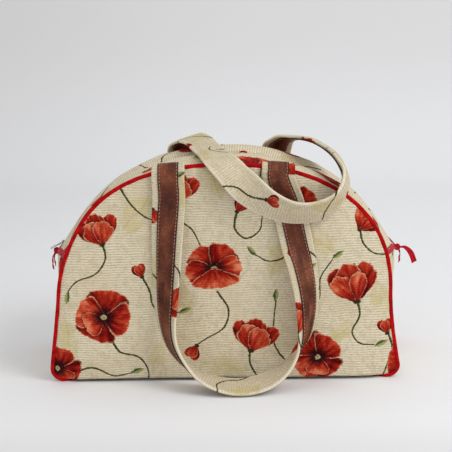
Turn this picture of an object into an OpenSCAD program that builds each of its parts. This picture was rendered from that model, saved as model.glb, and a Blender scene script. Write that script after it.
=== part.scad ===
// Soft dome-shaped travel bag of tapestry cloth: piped seams, a zip over the top, two long handles.
// X runs across the width, the front faces -Y, Z is up, the origin is the middle of the base on the floor.

/* [Body] */
// Width across the base, from seam to seam
bag_w = 460; // [400:5:520]
// Height of the front and back panels in the middle
bag_h = 290; // [260:5:330]
// Depth from the front seam to the back seam
bag_d = 186; // [150:2:220]
// How far each side leans in from the base up to the arch
lean_in = 11; // [0:1:20]
// Height at which the arch springs from the sides
spring_h = 120; // [90:5:150]
// Squareness of the arch, 2 is an ellipse and more is squarer
arch_square_share = 2.3; // [2:0.1:3]
// Radius of the seam at the base corners
corner_r = 14; // [8:1:24]
// Thickness of the cloth with its padding
cloth_t = 2.6; // [1.6:0.2:4]
// How far the front and back panels swell outward
panel_crown = 9; // [4:0.5:12]
// Height of the soft ridge along each gusset half
ridge_h = 5; // [2:0.5:8]
// How far the ends swell outward in the middle of the depth
end_bulge = 14; // [8:1:20]
// Thickness of the base panel
base_t = 3; // [2:0.5:5]
// Thickness of the stiffening board on the base
board_t = 2.5; // [1.5:0.5:4]
// Distance of the board from the base panel's edge
board_inset = 8; // [4:1:20]
// Corner radius of the board
board_r = 10; // [4:1:20]
// Thickness of the lining
lining_t = 0.8; // [0.4:0.1:1.5]
// Size of the lining against the outer shape
lining_share = 0.93; // [0.85:0.01:0.94]

/* [Piping] */
// Diameter of the piping cord
pipe_d = 6.4; // [3:0.2:8]

/* [Zip] */
// How far the middle of the zip lies above the seams
zip_rise = 2; // [0:0.5:5]
// Share of the arch height at which the zip ends
zip_end_share = 0.235; // [0.15:0.005:0.35]
// Width of one zip tape
tape_w = 14; // [10:1:18]
// Thickness of the zip tape
tape_t = 0.8; // [0.4:0.1:1.2]
// Width of one row of teeth
coil_w = 1.4; // [1:0.1:2]
// Height of the teeth
coil_t = 2.2; // [1.6:0.1:3]
// Gap between the two rows of teeth
coil_gap = 0.3; // [0.2:0.1:0.6]
// Width of zip left bare between the gusset halves
zip_show = 16; // [14:1:22]
// Length of a zip stop along the zip
stop_l = 2.4; // [1.5:0.1:4]
// Angle by which the tapes stay short of the end panels
tape_short_angle = 0.35; // [0.2:0.05:0.6]
// Length of the slider along the zip
slider_l = 12; // [9:0.5:16]
// Width of the slider
slider_w = 10; // [9:0.5:13]
// Thickness of the slider's two plates
plate_t = 1.4; // [1:0.1:2]
// Height of the channel between the plates
channel_h = 3.6; // [3.2:0.1:4.4]
// Thickness of the plates' side flanges
flange_t = 0.9; // [0.6:0.1:1.4]
// Height of the slot that the tapes pass through
slot_h = 1.6; // [1.4:0.1:2]
// Length of the post that joins the plates
post_l = 3; // [2:0.2:4]
// Width of the post that joins the plates
post_w = 2; // [1.4:0.1:2.4]
// Length of the lug that carries the pull
lug_l = 5; // [4:0.2:6]
// Width of the lug that carries the pull
lug_w = 2.4; // [1.8:0.1:3]
// Height of the lug's bore over the top plate
lug_h = 1.7; // [1.5:0.1:2.2]
// Diameter of the pull's pin
pin_d = 1.8; // [1.2:0.1:2.2]
// Length of the pull from its pin to its tip
pull_l = 20; // [16:1:24]
// Width of the pull
pull_w = 8; // [6:0.5:9]
// Thickness of the pull
pull_t = 1.6; // [1:0.1:1.8]
// Width of one arm of the pull
arm_w = 1.6; // [1:0.1:2]
// Length of the fork between the arms
fork_l = 6; // [5:0.5:8]
// Angle of the resting pull over the zip
pull_rest_angle = 30; // [25:1:40]

/* [Handles] */
// Distance between the two ends of a handle
handle_gap = 144; // [120:2:160]
// Width of the cloth band
band_w = 43; // [38:1:48]
// Thickness of the cloth band
band_t = 4; // [3:0.2:5]
// Width of the leather strip
leather_w = 30; // [24:1:36]
// Thickness of the leather strip
leather_t = 1.6; // [1:0.1:2.2]
// Length of the front handle's ends behind the piping
tuck_l = 11; // [9:0.5:14]
// Height of the front handle's ends over the seam
lift_h = 7; // [6:0.2:10]
// Height of the back handle's ends over the seam
stand_h = 4.6; // [4.4:0.1:8]
// How far the fallen back handle draws its left end towards the middle
back_draw = 8; // [0:1:10]

/* [Ties] */
// Width of the ribbon
ribbon_w = 9; // [6:0.5:12]
// Thickness of the ribbon
ribbon_t = 0.8; // [0.5:0.1:1.2]
// Diameter of the knot
knot_d = 10; // [7:0.5:10]

/* [Clearances] */
// Gap between pieces that are sewn or laid together
seat_gap = 0.3; // [0.2:0.05:0.5]
// Gap between moving pieces
run_gap = 0.25; // [0.15:0.05:0.4]
// Overrun of every cut past the face that it goes through
cut_over = 1; // [0.5:0.5:2]

/* [Detail] */
// Steps along the arch of a panel
arch_steps = 40; // [24:2:48]
// Steps along a gusset half
gusset_steps = 34; // [24:2:40]
// Steps across a gusset half
ridge_steps = 8; // [6:1:10]
// Steps along a handle
handle_steps = 60; // [40:2:70]
// Steps along a ribbon
ribbon_steps = 10; // [6:1:14]
// Sides of the piping cord
pipe_sides = 8; // [6:1:10]

/* [Hidden] */
$fa = 3;
$fs = 0.4;
quarter = 90;
half_turn = 180;
full_turn = 360;
side_steps = 5;
corner_steps = 4;
base_steps = 8;
end_steps = 12;
spring_w = bag_w - lean_in * 2;
arch_power = 2 / arch_square_share;
arch_rise = bag_h - spring_h;
pipe_r = pipe_d / 2;
seam_y = bag_d / 2;
seam_z = pipe_r;
edge_y = seam_y - pipe_r - seat_gap;
hand_x = handle_gap / 2;

// Zip arc through the middle of the top and both zip ends
zip_end_h = arch_rise * zip_end_share;
zip_end_z = spring_h + zip_end_h;
arch_end = acos(pow(zip_end_share, arch_square_share / 2));
zip_end_x = spring_w / 2 * pow(sin(arch_end), arch_power) + end_bulge;
zip_top_z = bag_h + zip_rise;
zip_drop = zip_top_z - zip_end_z;
zip_r = (zip_end_x * zip_end_x + zip_drop * zip_drop) / (2 * zip_drop);
zip_z = zip_top_z - zip_r;
zip_half = asin(zip_end_x / zip_r);
hem_r = zip_r + tape_t / 2 + seat_gap + cloth_t / 2;
tape_in = coil_gap / 2 + coil_w + seat_gap;
stop_angle = asin(stop_l / zip_r);
stop_mid = zip_half - tape_short_angle - stop_angle / 2;
slider_angle = asin(slider_l / zip_r);
run_angle = asin(run_gap / zip_r);
slider_rest = stop_mid - stop_angle / 2 - run_angle - slider_angle / 2;
coil_from = slider_rest - slider_angle / 2 - run_angle;
coil_to = stop_mid - stop_angle / 2 - run_angle;
plate_r = zip_r + channel_h / 2;
pin_r = pin_d / 2;
pin_z = channel_h / 2 + plate_t + lug_h;

// Knot beside the zip's end, under the resting pull
knot_drop_share = 0.12;
knot_x = zip_end_x + cloth_t + knot_d / 2 + seat_gap * 4;
pull_slope = slider_rest - pull_rest_angle;
pin_x = (zip_r + pin_z) * sin(slider_rest);
pin_h = zip_z + (zip_r + pin_z) * cos(slider_rest);
pull_under = pin_h - (knot_x - pin_x) * tan(pull_slope) - pull_t / 2 / cos(pull_slope);
knot_z = min(
    zip_end_z - knot_d * knot_drop_share,
    pull_under - (knot_d / 2 + seat_gap) / cos(pull_slope));

// Places along the handles as shares of half the handle gap, the depth and the height
front_route_shares = [
    [-0.99, -0.575, 0.853], [-1.03, -0.597, 0.693], [-1.055, -0.626, 0.534], [-1.07, -0.648, 0.4],
    [-1.055, -0.677, 0.29], [-0.95, -0.722, 0.195], [-0.7, -0.775, 0.117], [-0.34, -0.82, 0.06],
    [0.11, -0.84, 0.032], [0.54, -0.825, 0.036], [0.92, -0.776, 0.07], [1.21, -0.722, 0.135],
    [1.42, -0.682, 0.22], [1.49, -0.664, 0.33], [1.48, -0.645, 0.44], [1.41, -0.626, 0.55],
    [1.32, -0.602, 0.645], [1.17, -0.577, 0.82]];
front_face_shares = [
    [0, -1, 0], [-0.25, -1, 0], [-0.45, -0.9, 0], [-0.62, -0.8, 0],
    [-0.8, -0.65, -0.15], [-0.85, -0.5, -0.4], [-0.65, -0.3, -0.75], [-0.3, 0, -1],
    [0, 0.2, -1], [0.15, 0.25, -1], [0.5, 0.2, -0.85], [0.75, 0, -0.65],
    [0.85, -0.4, -0.3], [0.8, -0.65, 0], [0.65, -0.8, 0], [0.45, -0.9, 0],
    [0.2, -1, 0], [0, -1, 0]];
back_route_shares = [
    [-0.897, 0.414, 1.03], [-0.82, 0.344, 1.054], [-0.675, 0.237, 1.07], [-0.515, 0.118, 1.065],
    [-0.37, -0.081, 1.052], [-0.183, -0.403, 1.043], [-0.01, -0.559, 1.015], [0.152, -0.602, 0.976],
    [0.321, -0.64, 0.933], [0.515, -0.672, 0.891], [0.763, -0.694, 0.848], [1.028, -0.704, 0.816],
    [1.294, -0.707, 0.8], [1.562, -0.702, 0.8], [1.812, -0.694, 0.816], [2.01, -0.677, 0.845],
    [2.13, -0.655, 0.883], [2.195, -0.606, 0.925], [2.191, -0.448, 0.966], [2.107, -0.225, 1.001],
    [1.949, -0.032, 1.033], [1.723, 0.129, 1.055], [1.464, 0.253, 1.065], [1.245, 0.344, 1.059],
    [1.1, 0.414, 1.036]];
back_face_shares = [
    [0.45, -0.55, -0.7], [0.4, -0.3, -0.87], [0.25, 0, -0.97], [0.1, 0.1, -1],
    [0, 0.12, -1], [-0.05, 0.25, -0.97], [-0.12, 0.68, -0.72], [-0.18, 0.82, -0.52],
    [-0.2, 0.95, -0.15], [-0.1, 0.92, 0.25], [-0.05, 0.85, 0.5], [-0.05, 0.78, 0.6],
    [-0.05, 0.72, 0.68], [-0.1, 0.68, 0.72], [-0.27, 0.65, 0.7], [-0.6, 0.5, 0.55],
    [-0.87, 0.33, 0.3], [-0.98, 0.2, 0.02], [-0.93, 0.14, -0.35], [-0.8, 0.09, -0.6],
    [-0.6, 0.05, -0.8], [-0.38, 0.03, -0.93], [-0.1, -0.1, -1], [0.05, -0.35, -0.93],
    [0.15, -0.5, -0.84]];
left_end_face_shares = [[0, -1, 0], [0.2, -0.9, -0.3]];
right_end_face_shares = [[-0.1, -1, 0], [0, -0.9, -0.35]];
// Slope of the seam under the handle ends, and how much of the crown lies under them
slope_share = 0.2;
brush_share = 0.55;
// Panel rings from the seam to the middle, and how much of the crown each has
ring_shares = [1, 0.95, 0.84, 0.62, 0.32];
crown_shares = [0, 0.4, 0.75, 0.93, 0.99];
middle_share = 0.45;
// Places along the ribbons: share of the zip's end angle and share of the way from the seam to the zip
tie_angle_shares = [0.955, 0.962, 0.97, 0.98];
tie_way_shares = [0.03, 0.25, 0.5, 0.76];
tie_width_shares = [1, 1, 1, 0.9, 0.4];
// Places along the ribbon tails in knot diameters, going away from the bag, to the back and up
tail_width_shares = [0.4, 0.8, 1, 1];
hang_front_shares = [[0.3, -0.3, -0.42], [0.5, -0.55, -1], [0.45, -0.75, -1.8], [0.3, -0.9, -2.5]];
hang_back_shares = [[0.3, 0.3, -0.42], [0.45, 0.5, -1], [0.4, 0.6, -1.7], [0.35, 0.65, -2.3]];
flare_shares = [[0.55, -0.15, 0.1], [1.1, -0.3, -0.05], [1.9, -0.4, -0.8], [2.35, -0.45, -2.1]];
hang_face_shares = [[1, -0.3, 0.4], [1, -0.3, 0.3], [1, -0.3, 0.1], [1, -0.3, 0.1]];
flare_face_shares = [[0.1, -0.3, 1], [0.2, -0.55, 0.9], [0.45, -0.85, 0.45], [0.5, -0.9, 0.2]];

// Small helpers
function pw(v, e) = v <= 0 ? 0 : pow(v, e);
function unit(v) = v / norm(v);
function flip(p) = [-p[0], p[1]];
function back_of(p) = [p[0], -p[1], p[2]];
function left_of(p) = [-p[0], p[1], p[2]];
function each_times(p, q) = [p[0] * q[0], p[1] * q[1], p[2] * q[2]];

// Seam outline, in the plane across the width and height
function arch_at(a) = [
    sign(a) * spring_w / 2 * pw(sin(abs(a)), arch_power),
    spring_h + arch_rise * pw(cos(a), arch_power)];
function side_at(s) = [
    spring_w / 2 + (bag_w - spring_w) / 2 * (1 - cos(quarter * s)),
    spring_h + (seam_z + corner_r - spring_h) * s];
function corner_at(s) = [
    bag_w / 2 - corner_r + corner_r * cos(quarter * s),
    seam_z + corner_r - corner_r * sin(quarter * s)];
function seam_top(x) = spring_h
    + arch_rise * pw(1 - pw(abs(x) / (spring_w / 2), arch_square_share), 1 / arch_square_share);

arch_line = [for (i = [0:arch_steps]) arch_at(-quarter + half_turn * i / arch_steps)];
right_line = concat(
    [for (i = [1:side_steps]) side_at(i / side_steps)],
    [for (i = [1:corner_steps]) corner_at(i / corner_steps)]);
base_line = [for (i = [1:base_steps - 1]) [(bag_w / 2 - corner_r) * (1 - 2 * i / base_steps), seam_z]];
left_line = [for (i = [len(right_line) - 1:-1:0]) flip(right_line[i])];
seam_line = concat(arch_line, right_line, base_line, left_line);
seam_count = len(seam_line);
function seam_way(i) = unit(seam_line[(i + 1) % seam_count] - seam_line[(i + seam_count - 1) % seam_count]);
seam_out = [for (i = [0:seam_count - 1]) [-seam_way(i)[1], seam_way(i)[0]]];

// Smooth curve through a list of places
function spline(p, u) =
    let (last = len(p) - 1, i = max(0, min(floor(u), last - 1)), f = u - i,
        p1 = p[i], p2 = p[i + 1],
        p0 = i > 0 ? p[i - 1] : 2 * p1 - p2,
        p3 = i + 2 <= last ? p[i + 2] : 2 * p2 - p1)
    (2 * p1 + (p2 - p0) * f + (2 * p0 - 5 * p1 + 4 * p2 - p3) * f * f
        + (3 * p1 - p0 - 3 * p2 + p3) * f * f * f) / 2;

// Frames along a band: middle, facing direction and sideways direction
nudge = 0.05;
function band_way(route, u) =
    unit(spline(route, min(u + nudge, len(route) - 1)) - spline(route, max(u - nudge, 0)));
function band_face(route, faces, u) =
    let (t = band_way(route, u), m = spline(faces, u))
    unit(m - (m * t) * t);
function band_frames(route, faces, steps) =
    [for (i = [0:steps]) let (u = (len(route) - 1) * i / steps, n = band_face(route, faces, u))
        [spline(route, u), n, cross(n, band_way(route, u))]];

// Skins: quads between neighbouring rows of points, cut the same way each time
function quad(a, b, c, d) = [[a, b, c], [a, c, d]];
function flat(lists) = [for (l = lists) for (x = l) x];

// Solid along a list of closed rings with capped ends
module ring_solid(rings, other_cut = false) {
    n = len(rings[0]);
    last = len(rings) - 1;
    sides = flat([for (i = [0:last - 1]) for (j = [0:n - 1])
        let (a = i * n + j, b = i * n + (j + 1) % n, c = b + n, d = a + n)
        other_cut ? quad(b, c, d, a) : quad(a, b, c, d)]);
    polyhedron(flat(rings), concat(sides,
        [[for (j = [n - 1:-1:0]) j]], [[for (j = [0:n - 1]) last * n + j]]));
}

// Closed loop of rings
module loop_solid(rings) {
    n = len(rings[0]);
    count = len(rings);
    polyhedron(flat(rings), flat([for (i = [0:count - 1]) for (j = [0:n - 1])
        let (k = (i + 1) % count)
        quad(i * n + j, i * n + (j + 1) % n, k * n + (j + 1) % n, k * n + j)]));
}

// Cloth between an outer and an inner grid of points
module sheet_solid(outer, inner) {
    rows = len(outer);
    cols = len(outer[0]);
    rings = [for (i = [0:rows - 1]) concat(outer[i], [for (j = [cols - 1:-1:0]) inner[i][j]])];
    n = 2 * cols;
    sides = flat([for (i = [0:rows - 2]) for (j = [0:n - 1])
        let (a = i * n + j, b = i * n + (j + 1) % n)
        quad(a, b, b + n, a + n)]);
    function cap(r, j) = [r * n + j, r * n + j + 1, r * n + n - 2 - j, r * n + n - 1 - j];
    first_cap = flat([for (j = [0:cols - 2]) let (q = cap(0, j)) quad(q[3], q[2], q[1], q[0])]);
    last_cap = flat([for (j = [0:cols - 2]) let (q = cap(rows - 1, j)) quad(q[0], q[1], q[2], q[3])]);
    polyhedron(flat(rings), concat(sides, first_cap, last_cap));
}

// Crowned panel inside the piping
module panel_solid() {
    middle = [0, bag_h * middle_share];
    rim = [for (i = [0:seam_count - 1]) seam_line[i] - seam_out[i] * (pipe_r + seat_gap)];
    rings = len(ring_shares);
    face = [for (k = [0:rings - 1]) for (i = [0:seam_count - 1])
        let (p = middle + (rim[i] - middle) * ring_shares[k])
        [p[0], -seam_y - panel_crown * crown_shares[k], p[1]]];
    outer = [for (p = concat(face, [[middle[0], -seam_y - panel_crown, middle[1]]])) p - [0, cloth_t / 2, 0]];
    inner = [for (p = outer) p + [0, cloth_t, 0]];
    n = seam_count;
    m = len(outer);
    bands = flat([for (k = [0:rings - 2]) for (i = [0:n - 1])
        let (a = k * n + i, b = k * n + (i + 1) % n)
        quad(a, b, b + n, a + n)]);
    fan = [for (i = [0:n - 1]) [(rings - 1) * n + i, (rings - 1) * n + (i + 1) % n, rings * n]];
    skin = concat(bands, fan);
    wall = flat([for (i = [0:n - 1]) let (j = (i + 1) % n) quad(j, i, i + m, j + m)]);
    polyhedron(concat(outer, inner), concat(
        skin,
        [for (t = skin) [t[2] + m, t[1] + m, t[0] + m]],
        wall));
}

// Piping cord round a panel
module piping_solid() {
    loop_solid([for (i = [0:seam_count - 1]) [for (j = [0:pipe_sides - 1])
        let (a = full_turn * (j + 0.5) / pipe_sides, s = pipe_r * cos(a))
        [seam_line[i][0] + seam_out[i][0] * s, -seam_y + pipe_r * sin(a),
            seam_line[i][1] + seam_out[i][1] * s]]]);
}

// Point of the front gusset half: arch angle, way from the seam to the zip, distance outward
function gusset_at(a, v, out) =
    let (p = arch_at(a), z = zip_half * a / arch_end,
        q = [hem_r * sin(z), zip_z + hem_r * cos(z)],
        turn = quarter * a / arch_end,
        fade = 1 - pow(a / arch_end, 4),
        m = p + (q - p) * sin(quarter * v)
            + [sin(turn), cos(turn)] * (out + ridge_h * sin(half_turn * v) * fade))
    [m[0], -edge_y + (edge_y - zip_show / 2) * v, m[1]];

module gusset_solid() {
    function grid(out) = [for (i = [0:gusset_steps])
        let (a = arch_end * (2 * i / gusset_steps - 1))
        [for (j = [0:ridge_steps]) gusset_at(a, j / ridge_steps, out)]];
    sheet_solid(grid(cloth_t / 2), grid(-cloth_t / 2));
}

// End panel on the right: heights down the seam line, then across the depth
end_line = concat(
    [[zip_end_x - end_bulge, zip_end_z - seat_gap]],
    [for (s = [1 / 3, 2 / 3]) arch_at(arch_end + (quarter - arch_end) * s)],
    [arch_at(quarter)], right_line);
end_last = len(end_line) - 1;
function end_out(i) =
    i == 0 ? [1, 0] : i == end_last ? [0, -1] :
    let (d = unit(end_line[i + 1] - end_line[i - 1])) [-d[1], d[0]];
function end_way(y) = min(1, (edge_y - abs(y)) / (edge_y - zip_show / 2));
function end_at(i, y, out) =
    let (height_share = (end_line[i][1] - seam_z) / (end_line[0][1] - seam_z),
        swell = (end_bulge + (hem_r - zip_r) * sin(zip_half)) * pow(height_share, 2),
        m = end_line[i] + end_out(i) * (out + swell * sin(quarter * end_way(y))))
    [m[0], y, m[1]];

module end_solid() {
    function grid(out) = [for (i = [0:end_last])
        [for (j = [0:end_steps]) end_at(i, edge_y * (2 * j / end_steps - 1), out)]];
    sheet_solid(grid(cloth_t / 2), grid(-cloth_t / 2));
}

// Sector of a ring about the zip's axis, from one angle to another measured from straight up
module zip_sector(from, to) {
    translate([0, 0, zip_z])
        rotate([quarter, 0, 0])
            rotate([0, 0, quarter - to])
                rotate_extrude(angle = to - from)
                    children();
}

module zip_place(angle) {
    translate([0, 0, zip_z])
        rotate([0, angle, 0])
            translate([0, 0, zip_r])
                children();
}

// Rectangle in the ring section: radius range and range across the zip
module section(r1, r2, y1, y2) {
    translate([r1, -y2])
        square([r2 - r1, y2 - y1]);
}

module front_tape_solid() {
    zip_sector(-zip_half + tape_short_angle, zip_half - tape_short_angle)
        section(zip_r - tape_t / 2, zip_r + tape_t / 2, -tape_in - tape_w, -tape_in);
}

module front_teeth_solid() {
    zip_sector(-coil_from, coil_to)
        section(zip_r - coil_t / 2, zip_r + coil_t / 2, -coil_gap / 2 - coil_w, -coil_gap / 2);
}

module stop_solid(side) {
    zip_sector(side * stop_mid - stop_angle / 2, side * stop_mid + stop_angle / 2)
        section(zip_r - coil_t / 2, zip_r + coil_t / 2, -coil_gap / 2 - coil_w, coil_gap / 2 + coil_w);
}

module slider_solid() {
    from = -slider_rest - slider_angle / 2;
    to = -slider_rest + slider_angle / 2;
    for (s = [-1, 1]) {
        r1 = zip_r + s * channel_h / 2;
        r2 = r1 + s * plate_t;
        zip_sector(from, to)
            section(min(r1, r2), max(r1, r2), -slider_w / 2, slider_w / 2);
        lip = zip_r + s * slot_h / 2;
        for (y = [-slider_w / 2, slider_w / 2 - flange_t])
            zip_sector(from, to)
                section(min(lip, r2), max(lip, r2), y, y + flange_t);
    }
    post_angle = asin(post_l / zip_r);
    zip_sector(from, from + post_angle)
        section(plate_r - channel_h - plate_t, plate_r + plate_t, -post_w / 2, post_w / 2);
    zip_place(-slider_rest)
        difference() {
            union() {
                translate([-lug_l / 2, -lug_w / 2, channel_h / 2])
                    cube([lug_l, lug_w, plate_t + lug_h]);
                translate([0, 0, pin_z])
                    rotate([quarter, 0, 0])
                        cylinder(d = lug_l, h = lug_w, center = true);
            }
            translate([0, 0, pin_z])
                rotate([quarter, 0, 0])
                    cylinder(r = pin_r + run_gap, h = lug_w + 2 * cut_over, center = true);
        }
}

module pull_solid() {
    inner = lug_w / 2 + run_gap;
    zip_place(-slider_rest)
        translate([0, 0, pin_z])
            rotate([0, half_turn + pull_rest_angle, 0]) {
                rotate([quarter, 0, 0])
                    cylinder(r = pin_r, h = 2 * (inner + arm_w), center = true);
                for (y = [-inner - arm_w, inner])
                    translate([0, y, -pull_t / 2])
                        cube([fork_l + cut_over, arm_w, pull_t]);
                translate([fork_l, -pull_w / 2, -pull_t / 2])
                    cube([pull_l - fork_l, pull_w, pull_t]);
            }
}

// Handle routes: ends by the seam, then the places along the loop
span = [hand_x, bag_d, bag_h];
end_top = seam_top(hand_x);
function front_end(side) = [
    [side * hand_x, -seam_y + tuck_l, end_top + lift_h],
    [side * hand_x, -seam_y, end_top + lift_h],
    [side * hand_x, -seam_y - pipe_r - band_t - seat_gap * 2, end_top + seat_gap],
    [side * hand_x, -seam_y - panel_crown * brush_share - band_t - cloth_t, end_top - pipe_d * 2]];
function front_end_face_shares(side) = [
    [side * slope_share, 0.1, 1], [side * slope_share, -0.35, 1], [0, -1, 0.35], [0, -1, 0.05]];
function reversed(p) = [for (i = [len(p) - 1:-1:0]) p[i]];
front_route = concat(
    front_end(-1),
    [for (p = front_route_shares) each_times(p, span)],
    reversed(front_end(1)));
front_faces = concat(front_end_face_shares(-1), front_face_shares, reversed(front_end_face_shares(1)));
function back_end(side) =
    let (x = side < 0 ? hand_x - back_draw : hand_x, z = seam_top(x) + stand_h)
    [[side * x, edge_y - band_t, z], [side * (x + band_t * slope_share), edge_y - band_t, z + band_t]];
back_route = concat(
    back_end(-1),
    [for (p = back_route_shares) each_times(p, span)],
    reversed(back_end(1)));
back_faces = concat(left_end_face_shares, back_face_shares, reversed(right_end_face_shares));

module band_solid(route, faces) {
    ring_solid([for (f = band_frames(route, faces, handle_steps))
        [for (q = [[-band_w, 1], [-leather_w, 1], [leather_w, 1], [band_w, 1],
                [band_w, -1], [leather_w, -1], [-leather_w, -1], [-band_w, -1]])
            f[0] + f[2] * q[0] / 2 + f[1] * q[1] * band_t / 2]]);
}

module leather_solid(route, faces) {
    low = band_t / 2 + seat_gap;
    ring_solid([for (f = band_frames(route, faces, handle_steps))
        [for (q = [[-1, low + leather_t], [1, low + leather_t], [1, low], [-1, low]])
            f[0] + f[2] * q[0] * leather_w / 2 + f[1] * q[1]]], true);
}

// Ribbons of the ties, made for the right end and the front
module ribbon_solid(route, faces, widths) {
    last = len(route) - 1;
    frames = band_frames(route, faces, ribbon_steps);
    ring_solid([for (i = [0:ribbon_steps]) let (f = frames[i],
            w = ribbon_w * spline(widths, last * i / ribbon_steps))
        [for (q = [[-1, 1], [1, 1], [1, -1], [-1, -1]])
            f[0] + f[2] * q[0] * w / 2 + f[1] * q[1] * ribbon_t / 2]]);
}

knot_mid = [knot_x, 0, knot_z];
tie_out = cloth_t / 2 + seat_gap * 2 + ribbon_t / 2;
tie_route = concat(
    [for (i = [0:3]) gusset_at(arch_end * tie_angle_shares[i], tie_way_shares[i], tie_out)],
    [knot_mid - [ribbon_t, knot_d / 2 + seat_gap, 0]]);
tie_face_shares = [[1, -0.3, 0.2], [1, -0.27, 0.32], [1, -0.17, 0.45], [1, -0.08, 0.56], [1, 0, 0.5]];
module tie_solid() {
    ribbon_solid(tie_route, tie_face_shares, tie_width_shares);
}

module tail_solid(shares, faces) {
    ribbon_solid([for (s = shares) knot_mid + s * knot_d], faces, tail_width_shares);
}

module knot_solid() {
    translate(knot_mid)
        sphere(d = knot_d);
}

module lining_shape(inset) {
    lift = base_t + board_t + seat_gap * 2;
    offset(delta = -inset)
        polygon([for (p = seam_line) [p[0], p[1] - seam_z] * lining_share + [0, lift]]);
}

module lining_solid() {
    depth = edge_y * 2 - cloth_t * 2;
    difference() {
        rotate([quarter, 0, 0])
            linear_extrude(depth, center = true)
                lining_shape(0);
        rotate([quarter, 0, 0])
            linear_extrude(depth - lining_t * 2, center = true)
                lining_shape(lining_t);
        translate([-zip_end_x * lining_share, -zip_show, zip_end_z])
            cube([zip_end_x * 2 * lining_share, zip_show * 2, bag_h]);
    }
}

module board_shape() {
    w = bag_w - corner_r * 2 - board_inset * 2 - board_r * 2;
    d = edge_y * 2 - board_inset * 2 - board_r * 2;
    for (x = [-w / 2, w / 2])
        for (y = [-d / 2, d / 2])
            translate([x, y])
                circle(r = board_r);
    square([w + board_r * 2, d], center = true);
    square([w, d + board_r * 2], center = true);
}

// Nodes
module front_panel() color("BurlyWood") panel_solid();
module back_panel() color("BurlyWood") mirror([0, 1, 0]) panel_solid();
module front_gusset() color("Wheat") gusset_solid();
module back_gusset() color("Wheat") mirror([0, 1, 0]) gusset_solid();
module left_end() color("Wheat") mirror([1, 0, 0]) end_solid();
module right_end() color("Wheat") end_solid();
module base_panel() color("Wheat")
    translate([-bag_w / 2 + corner_r + seat_gap, -edge_y, 0])
        cube([bag_w - corner_r * 2 - seat_gap * 2, edge_y * 2, base_t]);
module base_board() color("Tan")
    translate([0, 0, base_t + seat_gap])
        linear_extrude(board_t)
            board_shape();
module lining() color("Linen") lining_solid();
module front_piping() color("Crimson") piping_solid();
module back_piping() color("Crimson") mirror([0, 1, 0]) piping_solid();
module front_tape() color("Beige") front_tape_solid();
module back_tape() color("Beige") mirror([0, 1, 0]) front_tape_solid();
module front_teeth() color("Silver") front_teeth_solid();
module back_teeth() color("Silver") mirror([0, 1, 0]) front_teeth_solid();
module left_stop() color("Silver") stop_solid(-1);
module right_stop() color("Silver") stop_solid(1);
module zip_slider() color("Silver") slider_solid();
module zip_pull() color("Silver") pull_solid();
module front_band() color("BurlyWood") band_solid(front_route, front_faces);
module front_leather() color("SaddleBrown") leather_solid(front_route, front_faces);
module back_band() color("BurlyWood") band_solid(back_route, back_faces);
module back_leather() color("SaddleBrown") leather_solid(back_route, back_faces);
module left_tie_front() color("Crimson") mirror([1, 0, 0]) tie_solid();
module left_tie_back() color("Crimson") mirror([1, 0, 0]) mirror([0, 1, 0]) tie_solid();
module left_knot() color("Crimson") mirror([1, 0, 0]) knot_solid();
module left_tail_front() color("Crimson") mirror([1, 0, 0]) tail_solid(hang_front_shares, hang_face_shares);
module left_tail_back() color("Crimson") mirror([1, 0, 0]) tail_solid(hang_back_shares, hang_face_shares);
module right_tie_front() color("Crimson") tie_solid();
module right_tie_back() color("Crimson") mirror([0, 1, 0]) tie_solid();
module right_knot() color("Crimson") knot_solid();
module right_tail_front() color("Crimson") tail_solid(flare_shares, flare_face_shares);
module right_tail_back() color("Crimson") tail_solid(hang_back_shares, hang_face_shares);

front_panel();
back_panel();
front_gusset();
back_gusset();
left_end();
right_end();
base_panel();
base_board();
lining();
front_piping();
back_piping();
front_tape();
back_tape();
front_teeth();
back_teeth();
left_stop();
right_stop();
zip_slider();
zip_pull();
front_band();
front_leather();
back_band();
back_leather();
left_tie_front();
left_tie_back();
left_knot();
left_tail_front();
left_tail_back();
right_tie_front();
right_tie_back();
right_knot();
right_tail_front();
right_tail_back();
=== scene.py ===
# %% [markdown]
# # A soft travel bag
# This lesson dresses a measured model of a dome-shaped cloth travel bag. The measured solids give every size;
# here each soft piece is made again as cloth, cord or leather, in the same place, and gets its own finish.

# %% Load the measured model
import math

import bmesh
import bpy
import numpy as np
from mathutils import Matrix, Quaternion, Vector, noise


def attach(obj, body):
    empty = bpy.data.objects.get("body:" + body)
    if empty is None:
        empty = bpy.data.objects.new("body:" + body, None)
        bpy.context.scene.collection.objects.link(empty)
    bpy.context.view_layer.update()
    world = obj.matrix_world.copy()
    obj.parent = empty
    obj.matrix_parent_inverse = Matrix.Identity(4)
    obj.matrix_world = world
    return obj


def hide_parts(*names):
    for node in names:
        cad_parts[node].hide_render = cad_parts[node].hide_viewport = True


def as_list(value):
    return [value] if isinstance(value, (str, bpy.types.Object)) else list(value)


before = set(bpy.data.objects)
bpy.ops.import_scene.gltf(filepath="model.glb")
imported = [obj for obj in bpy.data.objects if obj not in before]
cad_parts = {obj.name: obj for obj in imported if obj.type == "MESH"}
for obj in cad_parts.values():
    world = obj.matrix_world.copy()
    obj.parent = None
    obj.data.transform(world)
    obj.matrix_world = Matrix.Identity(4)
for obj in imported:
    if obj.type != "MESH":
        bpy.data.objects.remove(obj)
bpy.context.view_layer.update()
MM = 0.001

# %% [markdown]
# ## Camera
# The picture was taken from a little above and almost straight on, with a longish lens. A camera is placed
# by angles round a target, then rolled slightly about its own line of sight, because the horizon of the
# picture leans by about a degree.

# %% Camera
AZIMUTH, ELEVATION, ROLL = (math.radians(a) for a in (1.4, 10.9, -0.9))
TARGET, DISTANCE = Vector((0, 0, 0.191)), 1.70
FOCUS_PX, IMAGE_PX = 1218, 452

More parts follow.
